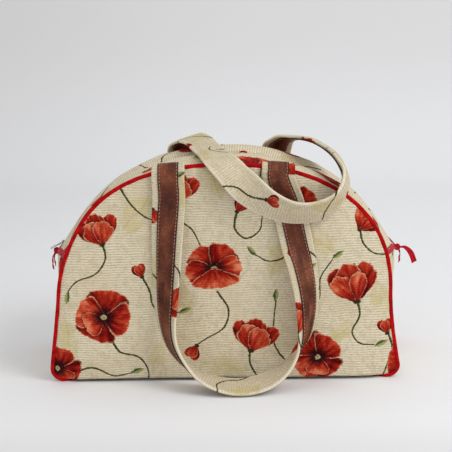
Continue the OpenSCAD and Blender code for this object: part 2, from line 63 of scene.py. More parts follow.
towards_camera = Vector((
    math.sin(AZIMUTH) * math.cos(ELEVATION),
    -math.cos(AZIMUTH) * math.cos(ELEVATION),
    math.sin(ELEVATION)))
lens = bpy.data.cameras.new("camera")
lens.sensor_width = 36
lens.lens = 36 * FOCUS_PX / IMAGE_PX
camera = bpy.data.objects.new("camera", lens)
camera.location = TARGET + towards_camera * DISTANCE
camera.rotation_mode = "QUATERNION"
camera.rotation_quaternion = towards_camera.to_track_quat("Z", "Y") @ Quaternion((0, 0, 1), ROLL)
bpy.context.scene.collection.objects.link(camera)
bpy.context.scene.camera = camera
print("camera at", [round(c, 3) for c in camera.location])

# %% [markdown]
# ## The seam outline
# The front and back panels share one outline: a round arch, sides that lean out towards the base, small
# corners and a straight base. It is written as functions, so that the panels, the piping, the gusset and
# the ends can all be cut from it and meet without gaps.

# %% Seam outline
SPRING_X, SPRING_Z, ARCH_RISE, ARCH_SQUARE = 0.219, 0.120, 0.170, 2.3
ARCH_POWER = 2 / ARCH_SQUARE
BASE_X, CORNER_R, SEAM_Y, PIPE_R = 0.230, 0.014, 0.093, 0.0032
CLOTH = 0.0026


def arch_at(angle):
    angle = np.asarray(angle, float)
    x = np.sign(angle) * SPRING_X * np.abs(np.sin(angle)) ** ARCH_POWER
    return np.stack([x, SPRING_Z + ARCH_RISE * np.clip(np.cos(angle), 0, 1) ** ARCH_POWER], -1)


def side_at(s):
    x = SPRING_X + (BASE_X - SPRING_X) * (1 - np.cos(s * math.pi / 2))
    return np.stack([x, SPRING_Z + (PIPE_R + CORNER_R - SPRING_Z) * s], -1)


def corner_at(s):
    turn = s * math.pi / 2
    return np.stack([BASE_X - CORNER_R + CORNER_R * np.cos(turn),
                     PIPE_R + CORNER_R - CORNER_R * np.sin(turn)], -1)


def steps(a, b, n):
    return np.linspace(a, b, n)


def run_of(line):
    """How far each point of a line lies from its start, measured along it."""
    return np.concatenate([[0], np.cumsum(np.linalg.norm(np.diff(line, axis=0), axis=1))])


def evenly(line, share):
    """Points at shares of the length along a line of points."""
    length = run_of(line)
    return np.stack([np.interp(share * length[-1], length, line[:, k]) for k in range(line.shape[1])], -1)


def inset(line, distance):
    """The line moved to its left side, seen along it."""
    way = np.gradient(line, axis=0)
    way /= np.linalg.norm(way, axis=1, keepdims=True)
    return line + np.stack([-way[:, 1], way[:, 0]], -1) * distance


FLIP = np.array([-1, 1])
right_half = np.concatenate([arch_at(steps(0, math.pi / 2, 160)), side_at(steps(0.02, 1, 60)),
                             corner_at(steps(0.05, 1, 20)), [[0, PIPE_R]]])
seam_loop = np.concatenate([right_half, (right_half * FLIP)[-2::-1]])
print("seam length", round(float(np.linalg.norm(np.diff(seam_loop, axis=0), axis=1).sum()), 3), "m")

# %% [markdown]
# ## Cloth from a grid
# A piece of cloth is a flat grid that is bent into place, so one helper makes nearly all of them: it asks
# Blender for a grid, moves each point to its place on the bag, and keeps the flat place as a UV map named
# cloth, in metres. The weave and the print read that map, so they follow the cloth as real threads do.

# %% Grid helper
def finished(name, bm, body="bag"):
    mesh = bpy.data.meshes.new(name)
    bm.to_mesh(mesh)
    bm.free()
    mesh.polygons.foreach_set("use_smooth", [True] * len(mesh.polygons))
    piece = bpy.data.objects.new(name, mesh)
    bpy.context.scene.collection.objects.link(piece)
    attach(piece, body)
    return piece


def cloth_grid(name, across, along, place, flat, thick=0.0, closed=False):
    bm = bmesh.new()
    bmesh.ops.create_grid(bm, x_segments=across, y_segments=along, size=0.5)
    bm.verts.index_update()
    uw = np.array([v.co.xy for v in bm.verts]) + 0.5
    spots, flats = place(uw[:, 0], uw[:, 1]), flat(uw[:, 0], uw[:, 1])
    for v, spot in zip(bm.verts, spots):
        v.co = spot
    cloth = bm.loops.layers.uv.new("cloth")
    for face in bm.faces:
        for corner in face.loops:
            corner[cloth].uv = flats[corner.vert.index]
    if closed:
        bmesh.ops.remove_doubles(bm, verts=bm.verts, dist=1e-6)
    piece = finished(name, bm)
    if thick:
        solid = piece.modifiers.new("thickness", "SOLIDIFY")
        solid.thickness, solid.offset = thick, 0
    print(name, "faces", len(piece.data.polygons))
    return piece


def ease(value, low, high):
    t = np.clip((np.asarray(value, float) - low) / (high - low), 0, 1)
    return t * t * (3 - 2 * t)


def wander(x, y, scale, seed):
    """Smooth noise, about -1 to 1, over two coordinates."""
    return np.array([noise.noise(Vector((a * scale, b * scale, seed))) for a, b in zip(x, y)])


# %% [markdown]
# ## Front and back panels
# Each panel is a dome of thick tapestry that swells a little, sags towards the base and is pulled flat at
# its seam. The grid's four sides lie on the base, the two sides and the top of the arch, and the inside is
# blended between them. A standing bag also gives way a little, so panels, gusset, ends, base, piping and
# ribbons are settled by the same small moves, and stay joined.

# %% Panels
MIDDLE_Z = 0.1305
SHOULDER = math.radians(50)
side_line = np.concatenate([corner_at(steps(0.5, 0.02, 14)), side_at(steps(1, 0.02, 60)),
                            arch_at(steps(math.pi / 2, SHOULDER, 80))])
top_line = arch_at(steps(-SHOULDER, SHOULDER, 160))
base_half = np.concatenate([[[0, PIPE_R]], corner_at(steps(1, 0.5, 14))])
base_line = np.concatenate([(base_half * FLIP)[::-1], base_half[1:]])
HEM = 0.0014
right_rim, top_rim, base_rim = inset(side_line, HEM), inset(top_line, -HEM), inset(base_line, HEM)


def panel_spot(u, w):
    left, right = evenly(right_rim, w) * FLIP, evenly(right_rim, w)
    low, high = evenly(base_rim, u), evenly(top_rim, u)
    u, w = u[:, None], w[:, None]
    foot, shoulder = right_rim[0], right_rim[-1]
    corners = (1 - w) * ((1 - u) * foot * FLIP + u * foot) + w * ((1 - u) * shoulder * FLIP + u * shoulder)
    return (1 - u) * left + u * right + (1 - w) * low + w * high - corners


middle = np.array([0, MIDDLE_Z])
rim_way = seam_loop - middle
rim_turn = np.arctan2(rim_way[:, 1], rim_way[:, 0])
rim_order = np.argsort(rim_turn)
rim_turn, rim_reach = rim_turn[rim_order], np.linalg.norm(rim_way, axis=1)[rim_order]


def panel_swell(p, seed):
    """How far the cloth stands out from the seam's plane, in metres."""
    x, z = p[:, 0], p[:, 1]
    off = p - middle
    turn = np.arctan2(off[:, 1], off[:, 0])
    share = np.linalg.norm(off, axis=1) / np.interp(turn, rim_turn, rim_reach, period=2 * math.pi)
    share = np.clip(share, 0, 1)
    crown = 1 - share ** (4 + 6 * share ** 1.5)
    inside = ease(1 - share, 0.0, 0.25)
    low = ease(z, 0.024, 0.004) * ease(np.abs(x), 0.214, 0.196)
    sag = 0.0035 * np.exp(-((z - 0.040) / 0.045) ** 2) * ease(np.abs(x), 0.22, 0.12)
    folds = 0.0022 * (wander(x, z * 0.7, 11, seed) - 0.4)
    folds += 0.0012 * wander(x + z * 0.5, z * 0.35, 26, seed + 3)
    pucker = 0.0007 * np.sin((turn * 30 + 4 * wander(x, z, 14, seed + 7)) * 1.7)
    pucker *= ease(share, 0.84, 0.96) * ease(share, 1.0, 0.97)
    return 0.009 * crown + folds * inside + sag * (1 - 0.4 * low) + pucker + 0.0016 * low


def settle(spot):
    """A soft bag gives way as it stands: the top of the back seam sinks, the left front corner splays out
    and the left front shoulder draws in."""
    x, y, z = spot.T
    sunk = 0.008 * ease(y, 0.010, SEAM_Y) * ease(z, 0.10, 0.24)
    left = ease(-x, 0.10, 0.23)
    splay = left * ease(-y, -0.02, SEAM_Y) * np.exp(-((z - 0.06) / 0.09) ** 2)
    drawn = ease(-x, 0.08, 0.19) * ease(-y, 0.03, SEAM_Y) * np.exp(-((z - 0.195) / 0.05) ** 2)
    give = splay[:, None] * np.array([-0.0045, -0.012, 0]) + drawn[:, None] * np.array([0.005, 0, 0])
    return spot + give - sunk[:, None] * np.array([0, 0, 1])


def make_panel(side, name, seed):
    def place(u, w):
        p = panel_spot(u if side < 0 else 1 - u, w)
        out = panel_swell(p, seed)
        return settle(np.stack([p[:, 0], side * (SEAM_Y + out), p[:, 1]], -1))

    def flat(u, w):
        return panel_spot(u, w)

    return cloth_grid(name, 116, 74, place, flat, thick=CLOTH)


front_panel = make_panel(-1, "front_cloth", 1.0)
back_panel = make_panel(1, "back_cloth", 5.0)
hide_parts("front_panel")
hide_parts("back_panel")

# %% [markdown]
# ## Gusset halves and ends
# Over the top, a strip of the same cloth joins the panels, split by the zip into two soft ridges with a
# valley between them. Below the zip's ends the strip goes on as the two end panels. Both follow the measured
# formulas: a blend from the seam to the zip's circle, raised by half a sine wave.

# %% Gusset and ends
EDGE_Y, RIDGE, END_BULGE, ZIP_SHOW = 0.0895, 0.005, 0.014, 0.016
ZIP_R, ZIP_Z, ZIP_HALF = 0.265561, 0.0264386, math.radians(59.818)
HEM_R = ZIP_R + 0.002
ZIP_END_SHARE = 0.235
ARCH_END = math.acos(ZIP_END_SHARE ** (ARCH_SQUARE / 2))


def gusset_at(angle, v, out):
    """A place on the front half: arch angle, way from seam to zip, distance outward."""
    p = arch_at(angle)
    z = ZIP_HALF * angle / ARCH_END
    q = np.stack([HEM_R * np.sin(z), ZIP_Z + HEM_R * np.cos(z)], -1)
    turn = math.pi / 2 * angle / ARCH_END
    lift = out + RIDGE * np.sin(math.pi * np.clip(v, 0, 1)) * (1 - (angle / ARCH_END) ** 4)
    m = p + (q - p) * np.sin(math.pi / 2 * np.clip(v, 0, 1))[:, None]
    m = m + np.stack([np.sin(turn), np.cos(turn)], -1) * lift[:, None]
    return np.stack([m[:, 0], -EDGE_Y + (EDGE_Y - ZIP_SHOW / 2) * v, m[:, 1]], -1)


gusset_line = gusset_at(steps(-ARCH_END, ARCH_END, 400), np.full(400, 0.5), np.zeros(400))
GUSSET_L = float(np.linalg.norm(np.diff(gusset_line, axis=0), axis=1).sum())


def make_gusset(side, name, seed):
    def place(u, w):
        angle, v = (2 * u - 1) * ARCH_END * 1.004, -0.016 + 1.016 * w
        along = (u - 0.5) * GUSSET_L
        out = 0.0011 * wander(along, v * 0.08, 30, seed) * np.sin(math.pi * w)
        out += 0.0006 * np.sin(along * 420 + 3 * wander(along, v, 16, seed + 2)) * ease(v, 0.2, 0.03)
        out -= 0.0005 * np.exp(-((v - 0.955) / 0.012) ** 2) + 0.0012 * ease(v, 0.985, 1.0)
        full = 0.004 if side > 0 else 0.005 * np.exp(-((angle - 0.85) / 0.26) ** 2)
        out += full * np.sin(math.pi * np.clip(v, 0, 1)) * (1 - (angle / ARCH_END) ** 4)
        spot = gusset_at(angle, v, out)
        spot[:, 1] *= -side
        return settle(spot)

    def flat(u, w):
        return np.stack([-side * (0.082 * (1 - w) + 0.008), (u - 0.5) * GUSSET_L], -1)

    across = (lambda f: lambda u, w: f(1 - w if side < 0 else w, u))
    return cloth_grid(name, 26, 150, across(place), across(flat), thick=CLOTH)


END_ARCH, END_SIDE, END_CORNER = 3, 5, 4
END_LAST = END_ARCH + END_SIDE + END_CORNER


def end_line_at(i):
    """A place down the right end's middle line, by the measured model's steps."""
    arch = arch_at(ARCH_END + (math.pi / 2 - ARCH_END) * np.clip(i / END_ARCH, 0, 1))
    down = side_at(np.clip((i - END_ARCH) / END_SIDE, 0, 1))
    under = corner_at(np.clip((i - END_ARCH - END_SIDE) / END_CORNER, 0, 1))
    return np.where((i < END_ARCH)[:, None], arch, np.where((i < END_ARCH + END_SIDE)[:, None], down, under))


fine = steps(0, END_LAST, 400)
end_line = end_line_at(fine)
end_way = np.gradient(end_line, axis=0)
end_way /= np.linalg.norm(end_way, axis=1, keepdims=True)
END_L = float(np.linalg.norm(np.diff(end_line, axis=0), axis=1).sum())


def make_end(side, name, seed):
    def place(u, w):
        i = w * END_LAST
        y = (2 * u - 1) * (EDGE_Y + 0.0012)
        reach = np.clip((EDGE_Y - np.abs(y)) / (EDGE_Y - ZIP_SHOW / 2), 0, 1)
        height = (end_line_at(i)[:, 1] - PIPE_R) / (end_line[0, 1] - PIPE_R)
        swell = (END_BULGE + 0.0017) * np.clip(height, 0, 1) ** 2 * np.sin(math.pi / 2 * reach)
        out = np.stack([-np.interp(i, fine, end_way[:, 1]), np.interp(i, fine, end_way[:, 0])], -1)
        soft = 0.0018 * wander(y, w * END_L, 24, seed) * np.sin(math.pi * u) * np.sin(math.pi * w)
        soft = soft - 0.0016 * ease(w, 0.03, 0.0)
        m = end_line_at(i) + out * (swell + soft)[:, None]
        return settle(np.stack([side * m[:, 0], y * -side, np.maximum(m[:, 1], 0.0016)], -1))

    def flat(u, w):
        return np.stack([side * (u - 0.5) * 0.18, side * (GUSSET_L / 2 + w * END_L)], -1)

    flipped = (lambda f: lambda u, w: f(1 - u, 1 - w))
    return cloth_grid(name, 44, 48, flipped(place), flipped(flat), thick=CLOTH)


front_gusset = make_gusset(-1, "front_gusset_cloth", 11.0)
back_gusset = make_gusset(1, "back_gusset_cloth", 13.0)
left_end, right_end = make_end(-1, "left_end_cloth", 17.0), make_end(1, "right_end_cloth", 19.0)
for piece, node in ((front_gusset, "front_gusset"), (back_gusset, "back_gusset"),
                    (left_end, "left_end"), (right_end, "right_end")):
    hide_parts(node)
print("gusset strip", round(GUSSET_L, 3), "end", round(END_L, 3))

# %% [markdown]
# ## Base and lining
# Neither shows while the bag stands shut, but a bag without them would be a mask. The base is one flat piece
# of the same cloth under a stiffening board. The lining is a plain cotton sack, a little smaller than the bag:
# a tube along the outline, its two ends filled, with a slit left under the zip.

# %% Base and lining
BASE_CUT_X, BASE_CUT_Y = 0.2155, 0.0892


def base_flat(u, w):
    return np.stack([(1 - 2 * u) * BASE_CUT_X, (2 * w - 1) * BASE_CUT_Y], -1)


def base_spot(u, w):
    x, y = base_flat(u, w).T
    turned_up = 0.0009 * ease(np.abs(y), 0.080, BASE_CUT_Y)
    return settle(np.stack([x, y, 0.0015 + turned_up], -1))


base_cloth = cloth_grid("base_cloth", 48, 20, base_spot, base_flat, thick=0.0024)
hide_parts("base_panel")

LINING_SHARE, LINING_LIFT, LINING_Y = 0.93, 0.0063, 0.0865
lining_loop = (seam_loop - [0, PIPE_R]) * LINING_SHARE + [0, LINING_LIFT]


def lining_spot(u, w):
    p = evenly(lining_loop, u)
    y = np.interp(w, [0, 0.4, 0.6, 1], [-LINING_Y, -0.0155, 0.0155, LINING_Y])
    return np.stack([p[:, 0], y, p[:, 1]], -1)


lining = cloth_grid("lining_cloth", 140, 10, lining_spot,
                    lambda u, w: np.stack([u * 1.2, w * 0.175], -1), thick=0.0007, closed=True)
sack = bmesh.new()
sack.from_mesh(lining.data)
slit = [f for f in sack.faces if f.calc_center_median().z > 0.165 and abs(f.calc_center_median().y) < 0.015]
bmesh.ops.delete(sack, geom=slit, context="FACES")
ends = [e for e in sack.edges if e.is_boundary and all(abs(v.co.y) > LINING_Y - 1e-4 for v in e.verts)]
bmesh.ops.edgeloop_fill(sack, edges=ends)
sack.to_mesh(lining.data)
sack.free()
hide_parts("lining")
print("lining faces", len(lining.data.polygons))

# %% [markdown]
# ## Piping
# A cord wrapped in red cloth is sewn into the seam round each panel. It is a long grid rolled into a tube
# along the outline and closed on itself; its thickness breathes a little, as a hand-fed cord does. Along the
# base it is tucked back under the bag, so it shows at the corners only.

# %% Piping
loop_way = np.gradient(seam_loop, axis=0)
loop_way /= np.linalg.norm(loop_way, axis=1, keepdims=True)
LOOP_L = float(np.linalg.norm(np.diff(seam_loop, axis=0), axis=1).sum())


def make_piping(side, name, seed):
    ahead = (lambda w: w) if side < 0 else (lambda w: 1 - w)

    def place(u, w):
        share = ahead(w)
        p, way = evenly(seam_loop, share), evenly_way(share)
        turn = u * 2 * math.pi
        r = PIPE_R * (0.98 + 0.035 * np.sin(share * LOOP_L * 180 + seed) * np.sin(share * LOOP_L * 37))
        out = np.stack([-way[:, 1], way[:, 0]], -1) * (r * np.cos(turn))[:, None]
        z = np.maximum(p[:, 1] + out[:, 1], 0.0002)
        tucked = 0.009 * ease(p[:, 1], 0.008, PIPE_R) * ease(np.abs(p[:, 0]), 0.216, 0.190)
        return settle(np.stack([p[:, 0] + out[:, 0], side * (SEAM_Y - tucked + r * np.sin(turn)), z], -1))

    return cloth_grid(name, 14, 460, place, lambda u, w: np.stack([u * 0.0201, w * LOOP_L], -1), closed=True)


def evenly_way(share):
    length = run_of(seam_loop)
    return np.stack([np.interp(share * length[-1], length, loop_way[:, k]) for k in (0, 1)], -1)


front_piping, back_piping = make_piping(-1, "front_piping_cord", 0.3), make_piping(1, "back_piping_cord", 1.9)
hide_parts("front_piping")
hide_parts("back_piping")

# %% [markdown]
# ## Zip
# Two woven tapes lie under the hems of the gusset, each with a row of small metal teeth that mesh in the
# middle. A tooth is a bevelled block, repeated along the zip's circle, so it has few faces. The slider and its
# pull are rigid, so they keep the measured shape: a copy is cleaned and its sharp edges are rounded.

# %% Zip tapes and teeth
TAPE_END, TAPE_W, TAPE_L = math.radians(59.468), 0.0141, 0.551


def on_zip(angle, y, r):
    return np.stack([r * np.sin(angle), y, ZIP_Z + r * np.cos(angle)], -1)


def make_tape(side, name):
    def place(u, w):
        y = 0.0017 + u * TAPE_W
        angle = (2 * w - 1) * TAPE_END
        return on_zip(angle, side * y, np.full_like(u, ZIP_R))

    def flat(u, w):
        return np.stack([u * TAPE_W, w * TAPE_L], -1)

    mirrored = (lambda u, w: place(1 - u, 1 - w)) if side < 0 else (lambda u, w: place(1 - u, w))
    return cloth_grid(name, 6, 160, mirrored, flat, thick=0.0008)


def make_teeth(side, name):
    bm = bmesh.new()
    pitch = 0.0025 / ZIP_R
    first, last = math.radians(-56.2), math.radians(58.8)
    count = int((last - first) / pitch)
    for k in range(count):
        angle = first + pitch * (k + (0.5 if side > 0 else 0))
        place = (Matrix.Translation((0, 0, ZIP_Z)) @ Matrix.Rotation(angle, 4, "Y")
                 @ Matrix.Translation((0, side * 0.0006, ZIP_R)) @ Matrix.Diagonal((0.0011, 0.0023, 0.0021, 1)))
        bmesh.ops.create_cube(bm, size=1, matrix=place)
    bmesh.ops.bevel(bm, geom=bm.edges[:], offset=0.00025, offset_type="OFFSET", segments=1, profile=0.5,
                    affect="EDGES", material=-1)
    print(name, count, "teeth")
    return finished(name, bm)


front_tape, back_tape = make_tape(-1, "front_zip_tape"), make_tape(1, "back_zip_tape")
front_teeth, back_teeth = make_teeth(-1, "front_zip_teeth"), make_teeth(1, "back_zip_teeth")
for piece, node in ((front_tape, "front_tape"), (back_tape, "back_tape"),
                    (front_teeth, "front_teeth"), (back_teeth, "back_teeth")):
    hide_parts(node)


# %% Slider, pull and stops
def rounded_copy(node, name, width, body):
    bm = bmesh.new()
    bm.from_mesh(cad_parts[node].data)
    bmesh.ops.remove_doubles(bm, verts=bm.verts, dist=2e-6)
    bmesh.ops.dissolve_limit(bm, angle_limit=0.03, verts=bm.verts, edges=bm.edges)
    sharp = [e for e in bm.edges if e.is_manifold and e.calc_face_angle(0) > 0.6]
    bmesh.ops.bevel(bm, geom=sharp, offset=width, offset_type="OFFSET", segments=2, profile=0.5,
                    affect="EDGES", material=-1, clamp_overlap=True)
    piece = finished(name, bm, body)
    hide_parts(node)
    print(name, "faces", len(piece.data.polygons))
    return piece


zip_slider = rounded_copy("zip_slider", "zip_slider_body", 0.0003, "zip_slider")
zip_pull = rounded_copy("zip_pull", "zip_pull_tab", 0.0004, "zip_pull")
stops = [rounded_copy(side + "_stop", side + "_zip_stop", 0.0003, "bag") for side in ("left", "right")]

# %% [markdown]
# ## Handles
# Each handle is a long band of folded cloth with a strip of leather sewn on its inner face. The front one hangs
# down and lies on the floor before the bag; the back one falls forward over the top. Both routes are smooth
# curves through a list of places, and a second list says which way the leather faces there, so the band twists
# as it falls. The front places are shares of the handle gap, the depth and the height. The back ones are points
# picked on the picture, each with its depth, and the camera's line of sight makes places of them. The two
# sections, band and leather, are then laid along the same curve.

# %% Handle routes
HAND_X, DRAWN_X = 0.072, 0.064
SPAN = np.array([HAND_X, 0.186, 0.290])


def seam_top(x):
    return SPRING_Z + ARCH_RISE * (1 - (x / SPRING_X) ** ARCH_SQUARE) ** (1 / ARCH_SQUARE)


front_places = np.array([
    (-0.99, -0.575, 0.853), (-1.03, -0.597, 0.693), (-1.055, -0.626, 0.534), (-1.07, -0.648, 0.4),
    (-1.055, -0.677, 0.29), (-0.95, -0.722, 0.195), (-0.7, -0.775, 0.117), (-0.34, -0.82, 0.06),
    (0.11, -0.84, 0.032), (0.54, -0.825, 0.036), (0.92, -0.776, 0.07), (1.21, -0.722, 0.135),
    (1.42, -0.682, 0.22), (1.49, -0.664, 0.33), (1.48, -0.645, 0.44), (1.41, -0.626, 0.55),
    (1.32, -0.602, 0.645), (1.17, -0.577, 0.82)]) * SPAN
front_turns = [
    (0, -1, 0), (-0.25, -1, 0), (-0.45, -0.9, 0), (-0.62, -0.8, 0), (-0.8, -0.65, -0.15), (-0.85, -0.5, -0.4),
    (-0.65, -0.3, -0.75), (-0.3, 0, -1), (0, 0.2, -1), (0.15, 0.25, -1), (0.5, 0.2, -0.85), (0.75, 0, -0.65),
    (0.85, -0.4, -0.3), (0.8, -0.65, 0), (0.65, -0.8, 0), (0.45, -0.9, 0), (0.2, -1, 0), (0, -1, 0)]
back_seen = [
    (181, 143, 77), (184.5, 139.3, 64), (191, 137.6, 44), (198.5, 140.5, 22), (205, 146.3, -15),
    (213.5, 153.8, -75), (222.5, 162.8, -104), (231.5, 172.3, -112), (241, 182.5, -119), (252, 192.5, -125),
    (266, 202.5, -129), (281, 209.8, -131), (296, 213.3, -131.5), (311, 212.8, -130.5), (325, 209, -129),
    (336, 202, -126), (342.5, 193, -122), (345.5, 182.5, -113), (343.5, 170.5, -83), (337, 158.5, -42),
    (327, 148, -6), (314, 140.8, 24), (300, 137, 47), (288.5, 137, 64), (281, 140.5, 77)]
back_turns = [
    (0.45, -0.55, -0.7), (0.4, -0.3, -0.87), (0.25, 0, -0.97), (0.1, 0.1, -1), (0, 0.12, -1),
    (-0.05, 0.25, -0.97), (-0.12, 0.68, -0.72), (-0.18, 0.82, -0.52), (-0.2, 0.95, -0.15), (-0.1, 0.92, 0.25),
    (-0.05, 0.85, 0.5), (-0.05, 0.78, 0.6), (-0.05, 0.72, 0.68), (-0.1, 0.68, 0.72), (-0.27, 0.65, 0.7),
    (-0.6, 0.5, 0.55), (-0.87, 0.33, 0.3), (-1, 0.2, 0), (-0.9, 0.15, -0.4), (-0.8, 0.1, -0.6),
    (-0.6, 0.05, -0.8), (-0.4, 0, -0.9), (-0.1, -0.1, -1), (0.05, -0.35, -0.93), (0.15, -0.5, -0.84)]


def seen_at(across, down, depth):
    """The place at a depth in millimetres that the camera sees at a point of the picture in pixels."""
    ray = camera.rotation_quaternion @ Vector((across - IMAGE_PX / 2, IMAGE_PX / 2 - down, -FOCUS_PX))
    return camera.location + ray * ((depth * MM - camera.location.y) / ray.y)


back_places = np.array([seen_at(*spot) for spot in back_seen])


def front_end(side):
    top = seam_top(HAND_X)
    spots = np.array([(HAND_X * side, -0.082, top + 0.0028), (HAND_X * side, -0.093, top + 0.0058),
                      (HAND_X * side, -0.1008, top + 0.0003), (HAND_X * side, -0.10455, top - 0.0128)])
    return spots, [(0.05 * side, 0.35, 1), (0.04 * side, -0.25, 1), (0, -1, 0.35), (0, -1, 0.05)]


def back_end(side):
    x = DRAWN_X if side < 0 else HAND_X
    top = seam_top(x)
    spots = np.array([(x * side, 0.0868, top - 0.0115), ((x + 0.0008) * side, 0.0862, top + 0.0035)])
    return spots, [(0, -1, 0), (0.2, -0.9, -0.3)] if side < 0 else [(-0.1, -1, 0), (0, -0.9, -0.35)]


def spline(points, u):
    points = np.asarray(points, float)
    p = np.concatenate([[2 * points[0] - points[1]], points, [2 * points[-1] - points[-2]]])
    i = np.clip(np.floor(u).astype(int), 0, len(points) - 2)
    f = (u - i)[:, None]
    a, b, c, d = p[i], p[i + 1], p[i + 2], p[i + 3]
    return (2 * b + (c - a) * f + (2 * a - 5 * b + 4 * c - d) * f ** 2 + (3 * b - a - 3 * c + d) * f ** 3) / 2


def unit(v):
    return v / np.linalg.norm(v, axis=1, keepdims=True)


def frames_along(route, turns, count):
    """Places, facing directions, sideways directions and lengths along a band."""
    last = len(route) - 1
    u = steps(0, last, count + 1)
    way = unit(spline(route, np.minimum(u + 0.05, last)) - spline(route, np.maximum(u - 0.05, 0)))
    face = spline(turns, u)
    face = unit(face - (face * way).sum(1, keepdims=True) * way)
    spot = spline(route, u)
    return spot, face, np.cross(face, way), run_of(spot)


def whole_route(end, places, turns):
    (first, first_turns), (last, last_turns) = end(-1), end(1)
    return np.concatenate([first, places, last[::-1]]), first_turns + turns + last_turns[::-1]


HANDLE_STEPS = 300
front_frames = frames_along(*whole_route(front_end, front_places, front_turns), HANDLE_STEPS)
back_frames = frames_along(*whole_route(back_end, back_places, back_turns), HANDLE_STEPS)
print("handle lengths", round(front_frames[3][-1], 3), round(back_frames[3][-1], 3))

# %% [markdown]
# The band's section is a flat loop with soft round edges and two shallow sewn grooves. The leather's section
# is thinner, and is pressed down along the stitches near both edges, so it looks sewn on and slightly padded.

# %% Bands and leather strips
BAND_W, BAND_T, LEATHER_W, LEATHER_T, SEW_X = 0.043, 0.004, 0.027, 0.0016, 0.0113
CURL, WOBBLE = 0.0006, 0.0005


def curl_at(x):
    return CURL * (x / (BAND_W / 2)) ** 2


def wave_at(x, along):
    return WOBBLE * np.sin(along * 34 + 2 * np.sin(along * 11)) * (x / (BAND_W / 2))


def flat_section(width, thick, groove, puff):
    """A closed loop across a band, anticlockwise from the middle of its inner face."""
    half, r = width / 2, thick / 2
    x = steps(0, half - r, 18)
    y = r + puff * (1 - (x / half) ** 4) - groove * np.exp(-((x - SEW_X) / 0.0011) ** 2)
    turn = steps(math.pi / 2, 0, 6)[1:]
    rim = np.stack([half - r + r * np.cos(turn), r * np.sin(turn)], -1)
    quarter = np.concatenate([np.stack([x, y], -1), rim])
    right = np.concatenate([quarter, (quarter * [1, -1])[-2::-1]])
    return np.concatenate([right * FLIP, right[-2::-1]])


def lay_along(name, section, route_frames, lift):
    spot, face, sideways, length = route_frames
    around = run_of(section)

    def place(u, w):
        i = np.rint(w * HANDLE_STEPS).astype(int)
        j = np.rint(u * (len(section) - 1)).astype(int)
        x, y = section[j, 0], section[j, 1]
        out = y + lift + curl_at(x) + wave_at(x, length[i])
        return spot[i] + sideways[i] * x[:, None] + face[i] * out[:, None]

    def flat(u, w):
        i = np.rint(w * HANDLE_STEPS).astype(int)
        j = np.rint(u * (len(section) - 1)).astype(int)
        return np.stack([around[j] - around[-1] / 2, length[i]], -1)

    piece = cloth_grid(name, len(section) - 1, HANDLE_STEPS, place, flat, closed=True)
    bm = bmesh.new()
    bm.from_mesh(piece.data)
    bmesh.ops.holes_fill(bm, edges=[e for e in bm.edges if e.is_boundary], sides=0)
    bm.to_mesh(piece.data)
    bm.free()
    return piece


band_section = flat_section(BAND_W, BAND_T, 0.0003, 0.0)
leather_section = flat_section(LEATHER_W, LEATHER_T, 0.0004, 0.0003)
LEATHER_LIFT = BAND_T / 2 + LEATHER_T / 2 + 0.0001
handles = {}
for name, route_frames in (("front", front_frames), ("back", back_frames)):
    band = lay_along(name + "_handle_band", band_section, route_frames, 0)
    strip = lay_along(name + "_handle_leather", leather_section, route_frames, LEATHER_LIFT)
    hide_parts(name + "_band")
    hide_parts(name + "_leather")
    handles[name] = (band, strip)

# %% [markdown]
# ## Stitches
# Pale thread runs along both edges of the leather and shows again on the cloth behind it. A stitch is a tiny
# stretched sphere, set along the curve by a matrix whose columns are the directions there.


# %% Stitches
def sew(name, lines, pitch, long, thick):
    """lines: lists of (places, upward directions), each sewn from end to end."""
    bm = bmesh.new()
    count = 0
    for spots, ups in lines:
        length = run_of(spots)
        for at in np.arange(pitch, length[-1] - pitch, pitch):
            p = Vector([np.interp(at, length, spots[:, k]) for k in range(3)])
            q = Vector([np.interp(at + 0.0005, length, spots[:, k]) for k in range(3)])
            up = Vector([np.interp(at, length, ups[:, k]) for k in range(3)])
            way = (q - p).normalized()
            aside = up.cross(way).normalized()
            up = way.cross(aside)
            turn = Matrix((way, aside, up)).transposed().to_4x4()
            shape = Matrix.Diagonal((long / 2, thick / 2, thick / 2, 1))
            bmesh.ops.create_uvsphere(bm, u_segments=6, v_segments=4, radius=1,
                                      matrix=Matrix.Translation(p) @ turn @ shape)
            count += 1
    print(name, count, "stitches")
    return finished(name, bm)


threads = []
for name, (spot, face, sideways, length) in (("front", front_frames), ("back", back_frames)):
    rows, rear = [], []
    for x in (-SEW_X, SEW_X):
        bend, wave = curl_at(x), wave_at(x, length)
        top = LEATHER_LIFT + LEATHER_T / 2 + bend - 0.0001
        rows.append((spot + sideways * x + face * (top + wave)[:, None], face))
        rear.append((spot + sideways * x + face * (wave + bend - BAND_T / 2 + 0.0002)[:, None], -face))
    threads.append(sew(name + "_leather_stitches", rows, 0.0046, 0.0036, 0.0009))
    threads.append(sew(name + "_band_stitches", rear, 0.0046, 0.0030, 0.0005))
hems = []
for side in (-1, 1):
    angle = steps(-ARCH_END * 0.985, ARCH_END * 0.985, 400)
    row = gusset_at(angle, np.full(400, 0.955), np.full(400, CLOTH / 2 - 0.0002))
    row[:, 1] *= -side
    turn = math.pi / 2 * angle / ARCH_END
    hems.append((row, np.stack([np.sin(turn), 0 * turn, np.cos(turn)], -1)))
hem_thread = sew("zip_hem_stitches", hems, 0.0042, 0.0031, 0.0007)

# %% [markdown]
# ## Ribbon ties
# A narrow crimson ribbon is sewn into the seams at each end of the zip and tied in the middle, with its tails
# hanging free. Bands, tails and the wraps of the knot are all strips of grid; the knot is three short wraps
# crossing each other round a soft core.

